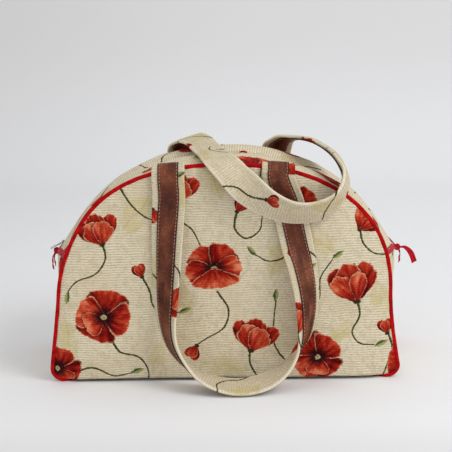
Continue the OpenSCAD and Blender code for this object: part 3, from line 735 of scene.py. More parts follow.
# %% Ribbons and knots
RIBBON_W, RIBBON_T, KNOT_D = 0.009, 0.0006, 0.010
TIE_WIDTHS, TAIL_WIDTHS = (1, 1, 1, 0.9, 0.4), (0.4, 0.8, 1, 1)
ZIP_END_X, ZIP_END_Z = 0.2295596, 0.15995
knot = np.array([ZIP_END_X + CLOTH + KNOT_D / 2 + 0.0012, 0, ZIP_END_Z - KNOT_D * 0.12])
tie_spots = gusset_at(ARCH_END * np.array([0.955, 0.962, 0.97, 0.98]), np.array([0.0, 0.25, 0.5, 0.76]),
                      np.full(4, CLOTH / 2 + 0.0008))
tie_route = np.concatenate([tie_spots, [knot - [0.0008, KNOT_D * 0.42, 0]]])
tie_turns = [(1, -0.3, 0.2), (1, -0.27, 0.32), (1, -0.17, 0.45), (1, -0.08, 0.56), (1, 0, 0.5)]
hang_front = [(0.2, -0.2, -0.3), (0.5, -0.55, -1), (0.45, -0.75, -1.8), (0.3, -0.9, -2.5)]
hang_back = [(0.2, 0.2, -0.3), (0.45, 0.5, -1), (0.4, 0.6, -1.7), (0.35, 0.65, -2.3)]
flare = [(0.4, -0.1, 0.05), (1.1, -0.3, -0.05), (1.9, -0.4, -0.8), (2.35, -0.45, -2.1)]
hang_turns = [(1, -0.3, 0.4), (1, -0.3, 0.3), (1, -0.3, 0.1), (1, -0.3, 0.1)]
flare_turns = [(0.1, -0.3, 1), (0.2, -0.55, 0.9), (0.45, -0.85, 0.45), (0.5, -0.9, 0.2)]


def ribbon(name, node, route, turns, widths, mirror, seed):
    spot, face, sideways, length = frames_along(np.asarray(route), turns, 40)

    def place(u, w):
        i = np.rint(w * 40).astype(int)
        x = (u - 0.5) * RIBBON_W * np.interp(w, steps(0, 1, len(widths)), widths)
        cup = 0.0007 * np.cos(u * 2 * math.pi + seed) * np.sin(w * 9 + seed)
        return settle((spot[i] + sideways[i] * x[:, None] + face[i] * cup[:, None]) * np.array(mirror))

    def flat(u, w):
        return np.stack([u * RIBBON_W, w * length[-1]], -1)

    turned = mirror[0] * mirror[1] < 0
    strip = (lambda u, w: place(1 - u, w)) if turned else place
    piece = cloth_grid(name, 8, 40, strip, flat, thick=RIBBON_T)
    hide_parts(node)
    return piece


def tied_knot(name, node, mirror):
    bm = bmesh.new()
    centre = Vector(knot * np.array(mirror))
    bmesh.ops.create_uvsphere(bm, u_segments=20, v_segments=12, radius=KNOT_D * 0.40,
                              matrix=Matrix.Translation(centre))
    for tilt, lean, wide in ((0.2, 0.5, 0.62), (1.25, -0.6, 0.5), (2.2, 0.3, 0.42)):
        wrap = bmesh.ops.create_grid(bm, x_segments=8, y_segments=36, size=0.5)["verts"]
        turn = Matrix.Rotation(tilt, 4, "X") @ Matrix.Rotation(lean, 4, "Z")
        for v in wrap:
            u, w = v.co.x, (v.co.y + 0.5) * 2 * math.pi
            r = KNOT_D * (0.47 - 0.10 * (2 * u) ** 2 + 0.02 * math.sin(5 * w + tilt))
            v.co = turn @ Vector((u * KNOT_D * wide, r * math.cos(w), r * math.sin(w))) + centre
    bmesh.ops.remove_doubles(bm, verts=bm.verts, dist=1e-6)
    piece = finished(name, bm)
    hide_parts(node)
    print(name, "faces", len(piece.data.polygons))
    return piece


ribbons = []
for side, mirror, tail, tail_turns, seed in (
        ("left", (-1, 1, 1), hang_front, hang_turns, 0.5), ("right", (1, 1, 1), flare, flare_turns, 2.1)):
    back_mirror = (mirror[0], -1, 1)
    tail_route, rear_route = (knot + np.array(spots) * KNOT_D for spots in (tail, hang_back))
    for name, node, route, turns, widths, facing, start in (
            ("_ribbon_front", "_tie_front", tie_route, tie_turns, TIE_WIDTHS, mirror, seed),
            ("_ribbon_back", "_tie_back", tie_route, tie_turns, TIE_WIDTHS, back_mirror, seed),
            ("_ribbon_tail_front", "_tail_front", tail_route, tail_turns, TAIL_WIDTHS, mirror, seed),
            ("_ribbon_tail_back", "_tail_back", rear_route, hang_turns, TAIL_WIDTHS, mirror, seed + 1)):
        ribbons.append(ribbon(side + name, side + node, route, turns, widths, facing, start))
    ribbons.append(tied_knot(side + "_ribbon_knot", side + "_knot", mirror))

# %% [markdown]
# ## The print's layout
# The cloth is woven with poppies on wandering stems, some green leaves and faint ochre ones. The layout is a
# list of places on one repeat of the cloth. For each small face of a cloth piece the nearest bloom, leaf and
# stem are looked up, and the face's corners get coordinates measured from it, as UV maps. The finish then has
# to draw only one bloom, one leaf and one stem, and their edges stay sharp at any distance.

# %% Layout of one repeat
TILE = np.array([0.470, 0.310])
KINDS = ("open", "tilted", "cup", "globe", "bud")
blooms = [
    (-14, 152, 38, "tilted", 8), (38, 62, 30, "cup", -14), (-44, 40, 14, "bud", 150),
    (-170, 206, 28, "cup", 16), (-160, 90, 36, "open", -20), (-114, 152, 13, "bud", 25),
    (168, 132, 33, "globe", 14), (122, 32, 34, "open", 40), (188, 216, 22, "globe", -40),
    (92, 234, 32, "tilted", -20), (-62, 262, 28, "cup", -10), (212, 72, 14, "bud", 15),
    (-222, 20, 32, "open", 70), (22, 238, 13, "bud", -30)]
stems = [
    [(-10, 122), (4, 98), (-2, 74), (-24, 60), (-38, 51)], [(32, 44), (32, 24), (42, 4), (50, -18), (46, -44)],
    [(104, 22), (80, 28), (64, 52), (64, 82), (67, 108)],
    [(-165, 190), (-160, 168), (-172, 148), (-196, 138), (-207, 124)],
    [(-152, 62), (-140, 42), (-116, 34), (-104, 12), (-110, -14)],
    [(-110, 144), (-100, 124), (-96, 104), (-80, 92), (-62, 95)],
    [(174, 112), (178, 88), (168, 66), (178, 50), (198, 47)],
    [(112, 58), (110, 86), (124, 112), (126, 140), (142, 165)],
    [(178, 204), (182, 186), (196, 172), (216, 169)], [(92, 208), (90, 186), (78, 168), (58, 163), (42, 171)],
    [(-65, 243), (-60, 222), (-42, 206), (-32, 186)], [(216, 62), (222, 40), (214, 16), (206, -8)],
    [(-202, 14), (-176, 21), (-150, 9), (-128, 12)], [(17, 230), (14, 208), (28, 194), (46, 204), (50, 222)],
    [(-136, 262), (-122, 240), (-104, 224), (-86, 218)]]
leaves = [(67, 117, 10, -8), (-207, 117, 10, 174), (-54, 97, 10, -68), (207, 49, 10, -68), (149, 171, 10, -58),
          (224, 171, 9, -70), (36, 177, 10, 42), (-119, 15, 10, -72), (50, 231, 10, 0), (-77, 218, 9, -90)]
ghosts = [(-62, 120, 36, 30), (74, 172, 40, -25), (-205, 62, 32, 10), (128, 186, 32, 60), (2, 20, 36, 80),
          (-118, 226, 38, -40), (206, 110, 30, 15), (152, 64, 28, -50), (-12, 272, 32, 20), (-92, 34, 26, -15)]


def stem_pieces():
    """Short straight pieces of every stem, in rows: middle, direction, half length, way along, whether it is
    the first, whether it is the last, and the whole stem's length."""
    rows = []
    for stem in stems:
        line = spline(np.array(stem, float) * MM, steps(0, len(stem) - 1, len(stem) * 5))
        way, start = np.diff(line, axis=0), 0.0
        whole = float(np.linalg.norm(way, axis=1).sum())
        for k, step in enumerate(way):
            size = float(np.linalg.norm(step))
            ends = (k == 0, k == len(way) - 1)
            rows.append((*(line[k] + step / 2), *(step / size), size / 2, start + size / 2, *ends, whole))
            start += size
    return np.array(rows, float)


stem_rows = stem_pieces()
print("blooms", len(blooms), "stem pieces", len(stem_rows))


# %% Lay the print on a piece
STEM_HALF = 0.0018


def wrapped(d):
    return (d + TILE / 2) % TILE - TILE / 2


def lay_print(piece, shift):
    mesh = piece.data
    flat = np.empty(len(mesh.loops) * 2)
    mesh.uv_layers["cloth"].data.foreach_get("uv", flat)
    flat = flat.reshape(-1, 2) + np.array(shift) * MM
    start, total = np.empty(len(mesh.polygons), int), np.empty(len(mesh.polygons), int)
    mesh.polygons.foreach_get("loop_start", start)
    mesh.polygons.foreach_get("loop_total", total)
    owner = np.repeat(np.arange(len(start)), total)
    centre = np.add.reduceat(flat, start) / total[:, None]
    rest = flat - centre[owner]

    def local(spots):
        spots = np.array([row[:3] + row[-1:] for row in spots], float)
        place, size, turn = spots[:, :2] * MM, spots[:, 2] * MM, np.radians(spots[:, 3])
        d = wrapped(centre[:, None] - place[None])
        gap = np.linalg.norm(d, axis=2) - size
        near = gap.argmin(1)
        p = d[np.arange(len(near)), near][owner] + rest
        c, s, r = np.cos(turn[near])[owner], np.sin(turn[near])[owner], size[near][owner]
        return near, gap[np.arange(len(near)), near], np.stack([p[:, 0] * c + p[:, 1] * s,
                                                                p[:, 1] * c - p[:, 0] * s], -1) / r[:, None]

    def keep(name, values):
        mesh.uv_layers.new(name=name).data.foreach_set("uv", np.ascontiguousarray(values, np.float32).ravel())

    near, gap, values = local(blooms)
    keep("bloom", values)
    reach = np.sqrt((rest ** 2).sum(1)).max() + 0.004
    kinds = np.array([KINDS.index(b[3]) + 1 for b in blooms])
    mesh.polygons.foreach_set("material_index", np.where(gap < reach, kinds[near], 0).astype(np.int32))
    keep("leaf", local(leaves)[2])
    keep("ghost", local(ghosts)[2])

    d = wrapped(centre[:, None] - stem_rows[None, :, :2])
    along = (d * stem_rows[None, :, 2:4]).sum(2)
    aside = d[:, :, 1] * stem_rows[None, :, 2] - d[:, :, 0] * stem_rows[None, :, 3]
    past = np.maximum(np.abs(along) - stem_rows[None, :, 4], 0)
    near = np.hypot(aside, past).argmin(1)
    pick = np.arange(len(near))
    row = stem_rows[near]
    ended = ((along[pick, near] < -row[:, 4] - 0.001) & (row[:, 6] > 0)) | (
        (along[pick, near] > row[:, 4] + 0.001) & (row[:, 7] > 0))
    across = aside[pick, near] + np.where(ended, 1.0, 0.0)
    row = row[owner]
    far = along[pick, near][owner] + (rest * row[:, 2:4]).sum(1) + row[:, 5]
    off = across[owner] + rest[:, 1] * row[:, 2] - rest[:, 0] * row[:, 3]
    keep("stem", np.stack([far, off / (STEM_HALF * (1 - 0.45 * np.clip(far / row[:, 8], 0, 1)))], -1))
    mesh.update()


ROUND_SHIFT = (-112, 127)
printed = [(front_panel, (0, 0)), (back_panel, (150, 130)), (front_gusset, ROUND_SHIFT),
           (back_gusset, ROUND_SHIFT), (left_end, ROUND_SHIFT), (right_end, ROUND_SHIFT),
           (base_cloth, (30, 200)), (handles["front"][0], (-85, 70)), (handles["back"][0], (-105, 150))]
for piece, shift in printed:
    lay_print(piece, shift)
print("printed", len(printed), "pieces")

# %% [markdown]
# ## Wiring helper
# Finishes are node trees. A small helper makes nodes and joins them, so that a finish reads like a formula.
# Effects that several finishes share are node groups, with named inputs and outputs.


# %% Wiring helper
def srgb(r, g, b):
    linear = [c / 255 / 12.92 if c <= 10 else ((c / 255 + 0.055) / 1.055) ** 2.4 for c in (r, g, b)]
    return (*linear, 1)


class Wires:
    def __init__(self, tree):
        self.tree = tree

    def put(self, socket, value):
        if isinstance(value, bpy.types.NodeSocket):
            self.tree.links.new(value, socket)
        elif value is not None:
            socket.default_value = value

    def node(self, kind, values=None, **settings):
        made = self.tree.nodes.new("ShaderNode" + kind)
        for key, value in settings.items():
            setattr(made, key, value)
        for key, value in (values or {}).items():
            self.put(made.inputs[key], value)
        return made

    def math(self, operation, *values):
        return self.node("Math", dict(enumerate(values)), operation=operation).outputs[0]

    def vector(self, operation, *values):
        return self.node("VectorMath", dict(enumerate(values)), operation=operation).outputs[0]

    def scale(self, value, by):
        return self.vector("MULTIPLY", value, by)

    def parts(self, value):
        return self.node("SeparateXYZ", {0: value}).outputs

    def join(self, x, y, z=0.0):
        return self.node("CombineXYZ", {0: x, 1: y, 2: z}).outputs[0]

    def smooth(self, value, low, high, to_low=0.0, to_high=1.0):
        return self.node("MapRange", {0: value, 1: low, 2: high, 3: to_low, 4: to_high},
                         interpolation_type="SMOOTHSTEP").outputs[0]

    def noise(self, vector, scale=1.0, detail=2.0, rough=0.5):
        values = {"Vector": vector, "Scale": scale, "Detail": detail, "Roughness": rough}
        return self.node("TexNoise", values).outputs[0]

    def mix(self, share, a, b, blend="MIX"):
        return self.node("Mix", {0: share, 6: a, 7: b}, data_type="RGBA", blend_type=blend).outputs[2]

    def ramp(self, value, stops):
        made = self.node("ValToRGB", {0: value})
        while len(made.color_ramp.elements) < len(stops):
            made.color_ramp.elements.new(0.5)
        for element, (at, colour) in zip(made.color_ramp.elements, stops):
            element.position, element.color = at, colour
        return made.outputs[0]

    def group(self, tree, **values):
        made = self.node("Group")
        made.node_tree = tree
        for key, value in values.items():
            self.put(made.inputs[key], value)
        return made.outputs


def new_group(name, inputs, outputs):
    tree = bpy.data.node_groups.new(name, "ShaderNodeTree")
    for key, kind in inputs.items():
        tree.interface.new_socket(key, in_out="INPUT", socket_type="NodeSocket" + kind)
    for key, kind in outputs.items():
        tree.interface.new_socket(key, in_out="OUTPUT", socket_type="NodeSocket" + kind)
    return Wires(tree), tree.nodes.new("NodeGroupInput").outputs, tree.nodes.new("NodeGroupOutput").inputs


# %% [markdown]
# ## Ribbed tapestry weave
# The real cloth is a thick tapestry with uneven ribs about three millimetres apart. Every rib is a row of
# stitches; its colour is painted lighter on top, as painted light, and darker between, as painted shade in the
# hollows, with random slub tone over it. A cosine gives the ribs, noise bends and breaks them, and a random
# shift for each small cell of thread makes the drawing's edges step from row to row as in weaving.

# %% Weave group
RIB = 0.0033
w, given, out = new_group("ribbed_weave", {"Cloth": "Vector", "Ribs": "Float"},
                          {"Shade": "Float", "Height": "Float", "Jitter": "Vector"})
s_axis, t_axis, _ = w.parts(given["Cloth"])
broad = w.noise(w.scale(given["Cloth"], (8, 6, 1)), detail=1)
bent = w.math("MULTIPLY_ADD", broad, 6.0, w.noise(w.scale(given["Cloth"], (40, 60, 1))))
phase = w.math("MULTIPLY_ADD", t_axis, 1 / RIB, w.math("MULTIPLY", bent, 0.8))
wave = w.math("MULTIPLY_ADD", w.math("COSINE", w.math("MULTIPLY", phase, 2 * math.pi)), 0.5, 0.5)
slub = w.noise(w.scale(given["Cloth"], (300, 480, 1)), detail=2, rough=0.6)
fade = w.noise(w.scale(given["Cloth"], (110, 90, 1)), detail=2)
ribs = w.math("MULTIPLY", wave, w.math("MULTIPLY", w.smooth(fade, 0.30, 0.62, 0.18, 0.50), given["Ribs"]))
row = w.math("FLOOR", phase)
yarn_turn = w.math("MULTIPLY_ADD", s_axis, 2 * math.pi / 0.0016, w.math("MULTIPLY", row, math.pi))
yarn = w.math("MULTIPLY_ADD", w.math("SINE", yarn_turn), 0.5, 0.5)
# Shade: the rib cosine as painted light on rib tops and painted shade in the hollows, plus slub and yarn tone.
shade = w.math("ADD", ribs, w.math("MULTIPLY_ADD", slub, 0.8, -0.05))
shade = w.math("MULTIPLY_ADD", yarn, 0.16, shade)
w.put(out["Shade"], w.smooth(shade, -0.15, 1.05))
w.put(out["Height"], w.math("ADD", ribs, w.math("MULTIPLY_ADD", yarn, 0.25, w.math("MULTIPLY", slub, 0.6))))
cell_s = w.math("FLOOR", w.math("MULTIPLY", s_axis, 1 / 0.0018))
cell_t = w.math("FLOOR", w.math("MULTIPLY", t_axis, 1 / 0.0012))
cell = w.join(cell_s, cell_t)
chance = w.node("TexWhiteNoise", {"Vector": cell}, noise_dimensions="2D").outputs["Color"]
w.put(out["Jitter"], w.scale(w.vector("SUBTRACT", chance, (0.5, 0.5, 0.5)), (0.0011, 0.0009, 0)))
weave_group = w.tree
print("weave nodes", len(weave_group.nodes))

# %% [markdown]
# ## Petals and blooms
# A poppy is a handful of broad fans. One group draws a fan: it turns the coordinates to the petal's own
# direction, measures how far inside its rim a point lies, and colours it from a dark foot to a paler rim with
# streaks. A bloom lays several fans over each other, each with a little shade on those behind it.

# %% Petal group
w, given, out = new_group("poppy_petal", {"Place": "Vector", "Foot": "Vector", "Turn": "Float",
                                          "Length": "Float", "Width": "Float", "Seed": "Float",
                                          "Tone": "Float"},
                          {"Color": "Color", "Mask": "Float", "Rim": "Float"})
moved = w.vector("SUBTRACT", given["Place"], given["Foot"])
turned = w.node("VectorRotate", {"Vector": moved, "Angle": w.math("MULTIPLY", given["Turn"], -1)},
                rotation_type="Z_AXIS").outputs[0]
x, y, _ = w.parts(turned)
rise = w.math("DIVIDE", y, given["Length"])
fan = w.smooth(rise, 0.0, 0.7, 0.40, 1.0)
aside = w.math("DIVIDE", x, w.math("MULTIPLY", given["Width"], fan))
middle_rise = w.math("MULTIPLY_ADD", rise, 2.0, -1.0)
seed = given["Seed"]
ripple_at = w.join(w.math("MULTIPLY_ADD", aside, 1.5, seed), w.math("MULTIPLY", rise, 0.6), seed)
ripple = w.noise(ripple_at, 1.7, 1.5)
reach = w.math("SQRT", w.math("ADD", w.math("MULTIPLY", aside, aside),
                              w.math("POWER", w.math("ABSOLUTE", middle_rise), 2.8)))
rim = w.math("SUBTRACT", w.math("MULTIPLY_ADD", ripple, -0.50, 1.25), reach)
spread = w.math("DIVIDE", x, w.math("ADD", w.math("ABSOLUTE", rise), 0.30))
streak_at = w.join(w.math("MULTIPLY_ADD", spread, 4.2, seed), w.math("MULTIPLY", rise, 1.5), seed)
streak = w.noise(streak_at, 1.4, 2.0, 0.6)
tone = w.math("ADD", w.math("MULTIPLY_ADD", rise, 0.64, 0.06), w.math("MULTIPLY_ADD", streak, 1.3, -0.62))
edge_shade = w.math("MULTIPLY", w.math("MULTIPLY", aside, aside), 0.14)
tone = w.math("ADD", w.math("SUBTRACT", tone, edge_shade), given["Tone"])
colour = w.ramp(tone, [(0.0, srgb(64, 4, 6)), (0.20, srgb(114, 12, 9)), (0.45, srgb(156, 34, 20)),
                       (0.70, srgb(188, 70, 44)), (1.0, srgb(220, 132, 98))])
pale = w.math("MULTIPLY", w.smooth(rim, 0.11, 0.03), w.smooth(streak, 0.30, 0.50, 0.35, 1.0))
colour = w.mix(w.math("MULTIPLY", pale, 0.75), colour, srgb(228, 176, 134))
w.put(out["Color"], colour)
w.put(out["Mask"], w.smooth(rim, 0.0, 0.035))
w.put(out["Rim"], rim)
petal_group = w.tree
print("petal nodes", len(petal_group.nodes))

# %% Bloom groups
bloom_petals = {
    "open": [((0, 0.04), 0.20, 0.98, 0.84, -0.04), ((0, 0.0), 3.00, 0.94, 0.80, -0.10),
             ((0, 0), 1.60, 1.00, 0.66, 0.05), ((0, 0), -1.45, 0.96, 0.70, -0.02),
             ((0.02, -0.04), 2.35, 0.72, 0.50, 0.10)],
    "tilted": [((0, 0), 0.0, 0.86, 0.66, -0.12), ((0, 0), 0.78, 1.00, 0.56, -0.02),
               ((0, 0), -0.72, 0.98, 0.60, -0.06), ((0, 0.06), 1.62, 1.02, 0.46, 0.02),
               ((0, 0.06), -1.66, 0.98, 0.44, 0.06), ((0, 0.04), 3.10, 0.72, 0.96, 0.08)],
    "cup": [((0, -0.70), 0.66, 1.50, 0.40, -0.12), ((0, -0.70), -0.64, 1.56, 0.42, -0.05),
            ((0, -0.72), 0.05, 1.52, 0.56, -0.10), ((0, -0.74), 0.36, 1.26, 0.50, 0.06),
            ((0, -0.74), -0.34, 1.16, 0.54, 0.10)],
    "globe": [((0, -0.78), 0.42, 1.62, 0.60, -0.16), ((0, -0.78), -0.46, 1.66, 0.60, -0.08),
              ((0, -0.80), 0.04, 1.66, 0.56, 0.0), ((0, -0.80), 0.55, 1.36, 0.44, 0.08),
              ((0, -0.80), -0.30, 1.24, 0.36, 0.10)],
    "bud": [((0, -0.80), 0.30, 1.55, 0.48, -0.12), ((0, -0.80), -0.34, 1.50, 0.46, -0.05),
            ((0, -0.82), 0.0, 1.40, 0.50, 0.06)]}


def heart(w, place, colour, mask):
    """The dark ring of stamens with the pale seed head in it."""
    far = w.node("VectorMath", {0: place}, operation="LENGTH").outputs["Value"]
    speck = w.noise(place, 14.0, 3.0)
    dark = w.smooth(w.math("MULTIPLY_ADD", speck, 0.40, far), 0.74, 0.40)
    colour = w.mix(w.math("MULTIPLY", w.math("MULTIPLY", dark, mask), 0.92), colour, srgb(34, 10, 14))
    colour = w.mix(w.smooth(w.math("MULTIPLY_ADD", speck, 0.05, far), 0.15, 0.11), colour, srgb(176, 168, 132))
    return w.mix(w.smooth(far, 0.07, 0.03), colour, srgb(112, 112, 72))


bloom_groups = {}
for kind, petals in bloom_petals.items():
    w, given, out = new_group("poppy_" + kind, {"Place": "Vector", "Ground": "Color"},
                              {"Color": "Color", "Mask": "Float"})
    colour, mask = given["Ground"], 0.0
    for k, (foot, turn, length, width, tone) in enumerate(petals):
        if kind == "tilted" and k == len(petals) - 1:
            raised_place = w.vector("SUBTRACT", given["Place"], (0, 0.05, 0))
            colour = heart(w, w.scale(raised_place, (0.9, 1.5, 0)), colour, mask)
        one = w.group(petal_group, Place=given["Place"], Foot=(*foot, 0), Turn=turn, Length=length, Width=width,
                      Seed=1.7 + 2.3 * k + len(kind), Tone=tone * 1.7)
        near = w.math("MULTIPLY", w.smooth(one["Rim"], -0.22, 0.0), mask)
        colour = w.mix(w.math("MULTIPLY", near, 0.66), colour, srgb(74, 8, 14))
        colour = w.mix(one["Mask"], colour, one["Color"])
        mask = w.math("MAXIMUM", mask, one["Mask"])
    if kind == "open":
        colour = heart(w, w.scale(given["Place"], (1.0, 1.2, 0)), colour, mask)
    if kind in ("cup", "globe", "bud"):
        foot = {"cup": -0.70, "globe": -0.80, "bud": -0.78}[kind]
        from_foot = w.vector("SUBTRACT", w.scale(given["Place"], (1.0, 1.6, 0)), (0, foot * 1.6, 0))
        low = w.node("VectorMath", {0: from_foot}, operation="LENGTH").outputs["Value"]
        cap = w.smooth(low, 0.30, 0.20) if kind == "bud" else w.smooth(low, 0.20, 0.12)
        colour = w.mix(cap, colour, srgb(52, 44, 30))
        mask = w.math("MAXIMUM", mask, cap)
    w.put(out["Color"], colour)
    w.put(out["Mask"], mask)
    bloom_groups[kind] = w.tree
    print("bloom", kind, "petals", len(petals))

# %% [markdown]
# ## Stems and leaves
# Stems are thin dark green lines; the across coordinate of the nearest stem is compared with its half width.
# Green leaves are pointed ovals with a light side, and the ochre leaves are faint, broken patches in the
# background.

# %% Stem and leaf group
w, given, out = new_group("stems_and_leaves", {"Ground": "Color", "Stem": "Vector", "Leaf": "Vector",
                                               "Ghost": "Vector", "Cloth": "Vector"},
                          {"Color": "Color", "Mask": "Float"})
gx, gy, _ = w.parts(given["Ghost"])
patch = w.noise(w.scale(given["Cloth"], (60, 60, 1)), detail=3, rough=0.6)
room = w.math("MULTIPLY_ADD", w.math("MULTIPLY", gy, gy), -0.48, 0.48)
broken = w.math("MULTIPLY_ADD", patch, 0.7, -0.35)
inside = w.math("ADD", w.math("SUBTRACT", room, w.math("ABSOLUTE", gx)), broken)
ghost = w.math("MULTIPLY", w.smooth(inside, 0.0, 0.16), w.smooth(patch, 0.30, 0.62, 0.12, 0.5))
vein_x = w.math("MULTIPLY", w.math("SINE", w.math("MULTIPLY", gy, 4.0)), 0.05)
vein = w.smooth(w.math("ABSOLUTE", w.math("SUBTRACT", gx, vein_x)), 0.05, 0.02)
colour = w.mix(ghost, given["Ground"], srgb(194, 178, 112))
colour = w.mix(w.math("MULTIPLY", vein, w.math("MULTIPLY", ghost, 0.5)), colour, srgb(164, 144, 86))
along, across, _ = w.parts(given["Stem"])
swing = w.noise(w.join(w.math("MULTIPLY", along, 170), 0.0), detail=2)
half_wide = w.math("MULTIPLY_ADD", swing, 0.9, 0.55)
line = w.smooth(w.math("SUBTRACT", half_wide, w.math("ABSOLUTE", across)), 0.0, 0.3)
lit = w.smooth(w.math("MULTIPLY_ADD", swing, 0.8, across), 0.0, 1.3)
colour = w.mix(line, colour, w.mix(lit, srgb(36, 40, 26), srgb(112, 112, 66)))
lx, ly, _ = w.parts(given["Leaf"])
room = w.math("MULTIPLY_ADD", w.math("MULTIPLY", ly, ly), -0.36, 0.36)
leaf = w.smooth(w.math("SUBTRACT", room, w.math("ABSOLUTE", lx)), 0.0, 0.06)
light_side = w.smooth(w.math("ADD", lx, w.math("MULTIPLY", ly, 0.1)), -0.12, 0.10)
tint = w.mix(light_side, srgb(72, 84, 50), srgb(150, 158, 96))
colour = w.mix(leaf, colour, tint)
w.put(out["Color"], colour)
w.put(out["Mask"], w.math("MAXIMUM", line, leaf))
leaf_group = w.tree
print("stem and leaf nodes", len(leaf_group.nodes))

# %% [markdown]
# ## Tapestry finish
# The finish is laid in the order of the real weave: cream ground, faint leaves, stems, then a bloom. Each
# cloth piece carries six of these finishes, a plain one and one for each kind of bloom, and a face uses the
# one that it needs. The handle bands have a set of their own, with weaker ribs and a painted highlight along
# their rolled edges. A little sheen stands for the fuzz of the yarn.


# %% Tapestry finishes
def new_finish(name, **sockets):
    """A material whose shader has the given constants; returns it with its wires and its shader."""
    made = bpy.data.materials.new(name)
    made.use_nodes = True
    w = Wires(made.node_tree)
    skin = made.node_tree.nodes["Principled BSDF"]
    for key, value in sockets.items():
        skin.inputs[key.replace("_", " ")].default_value = value
    return made, w, skin


def uv(w, name):
    return w.node("UVMap", uv_map=name).outputs[0]


def raised(w, skin, height, depth):
    bump = w.node("Bump", {"Height": height, "Distance": depth, "Strength": 1.0})
    w.put(skin.inputs["Normal"], bump.outputs[0])


def cloth_finish(use, kind, ribs):
    made, w, skin = new_finish(use + "_" + kind, Roughness=0.9, Sheen_Weight=0.02, Sheen_Roughness=0.5,
                               Specular_IOR_Level=0.06)
    cloth = uv(w, "cloth")
    weave = w.group(weave_group, Cloth=cloth, Ribs=ribs)
    # Cream ground mixed by the weave's shade: painted light on rib tops, painted shade in rib hollows, and slub
    # tone.
    ground = w.mix(weave["Shade"], srgb(148, 129, 98), srgb(235, 224, 197))
    if use == "strap":
        # Painted highlight: the band's rolled edges are painted paler, as if catching light.
        beside = w.math("ABSOLUTE", w.math("SUBTRACT", w.math("ABSOLUTE", w.parts(cloth)[0]), BAND_W / 2))
        ground = w.mix(w.smooth(beside, 0.0045, 0.001, 0.0, 0.45), ground, srgb(246, 238, 218))
    cloud = w.noise(w.scale(cloth, (14, 14, 1)), detail=3)
    ground = w.mix(w.smooth(cloud, 0.42, 0.75, 0.0, 0.35), ground, srgb(196, 176, 138))

    def stepped(name, wide, high):
        return w.vector("ADD", uv(w, name), w.scale(weave["Jitter"], (1 / wide, 1 / high, 0)))

    plants = w.group(leaf_group, Ground=ground, Stem=stepped("stem", 1.0, STEM_HALF),
                     Leaf=stepped("leaf", 0.010, 0.010), Ghost=stepped("ghost", 0.034, 0.034), Cloth=cloth)
    colour, mask = plants["Color"], plants["Mask"]
    if kind in bloom_groups:
        bloom = w.group(bloom_groups[kind], Place=stepped("bloom", 0.030, 0.030), Ground=colour)
        colour = w.mix(bloom["Mask"], colour, bloom["Color"])
        mask = w.math("MAXIMUM", mask, bloom["Mask"])
    # Drawn colours are multiplied by the weave's painted rib shade and slub tone.
    rib_shade_and_slub = w.mix(weave["Shade"], (0.70, 0.68, 0.66, 1), (1.16, 1.14, 1.12, 1))
    colour = w.mix(mask, colour, w.mix(1.0, colour, rib_shade_and_slub, "MULTIPLY"))
    w.put(skin.inputs["Base Color"], colour)
    raised(w, skin, weave["Height"], 0.00045)
    return made


bands = [handles["front"][0], handles["back"][0]]
sewn_cloths = [piece for piece, _ in printed if piece not in bands]
for use, ribs, pieces in (("tapestry", 1.0, sewn_cloths), ("strap", 0.5, bands)):
    finishes = [cloth_finish(use, kind, ribs) for kind in ("plain",) + KINDS]
    for piece in pieces:
        for made in finishes:
            piece.data.materials.append(made)
    print(use, "finishes", len(finishes), "pieces", len(pieces))

# %% [markdown]
# ## Leather finish
# The strips are brown hide with fine pebbled grain, mottled dye and small scuffs. The cut edges are burnished
# dark, and faint paler creases cross the strip.

# %% Leather
made, w, skin = new_finish("leather", Roughness=0.5, Specular_IOR_Level=0.22)
hide = uv(w, "cloth")
s_axis, t_axis, _ = w.parts(hide)
pebble_at = {"Vector": w.scale(hide, (1, 1, 0)), "Scale": 900}
pebble = w.node("TexVoronoi", pebble_at, feature="F1").outputs["Distance"]
mottle = w.noise(w.scale(hide, (42, 24, 1)), detail=3, rough=0.5)
crease = w.noise(w.scale(hide, (30, 190, 1)), detail=2)
scuff = w.noise(w.scale(hide, (480, 330, 1)), detail=2)
colour = w.ramp(mottle, [(0.30, srgb(62, 27, 15)), (0.5, srgb(102, 50, 29)), (0.70, srgb(144, 83, 55))])
colour = w.mix(w.smooth(pebble, 0.25, 0.75, 0.0, 0.4), colour, srgb(54, 22, 14))
colour = w.mix(w.smooth(crease, 0.58, 0.78, 0.0, 0.22), colour, srgb(156, 92, 68))
rubbed = w.mix(w.smooth(scuff, 0.30, 0.70), (0.76, 0.75, 0.74, 1), (1.22, 1.21, 1.20, 1))
colour = w.mix(1.0, colour, rubbed, "MULTIPLY")
turned = w.math("ABSOLUTE", w.math("SUBTRACT", w.math("ABSOLUTE", s_axis), LEATHER_W / 2))
edge = w.smooth(turned, 0.0030, 0.0012)
colour = w.mix(w.math("MULTIPLY", edge, 0.8), colour, srgb(46, 20, 14))
w.put(skin.inputs["Base Color"], colour)
w.put(skin.inputs["Roughness"], w.smooth(mottle, 0.3, 0.7, 0.54, 0.32))
raised(w, skin, w.math("MULTIPLY_ADD", pebble, -0.6, w.math("MULTIPLY", crease, 0.5)), 0.0004)
for band, strip in handles.values():
    strip.data.materials.append(made)

# %% [markdown]
# ## Fine cloths
# Piping, ribbon, zip tape and lining are smoother cloths. One group draws threads crossing at a chosen pitch
# with uneven dye, and every finish mixes its two colours by it. The piping is cut on the bias, so its threads
# run slanting round the cord.

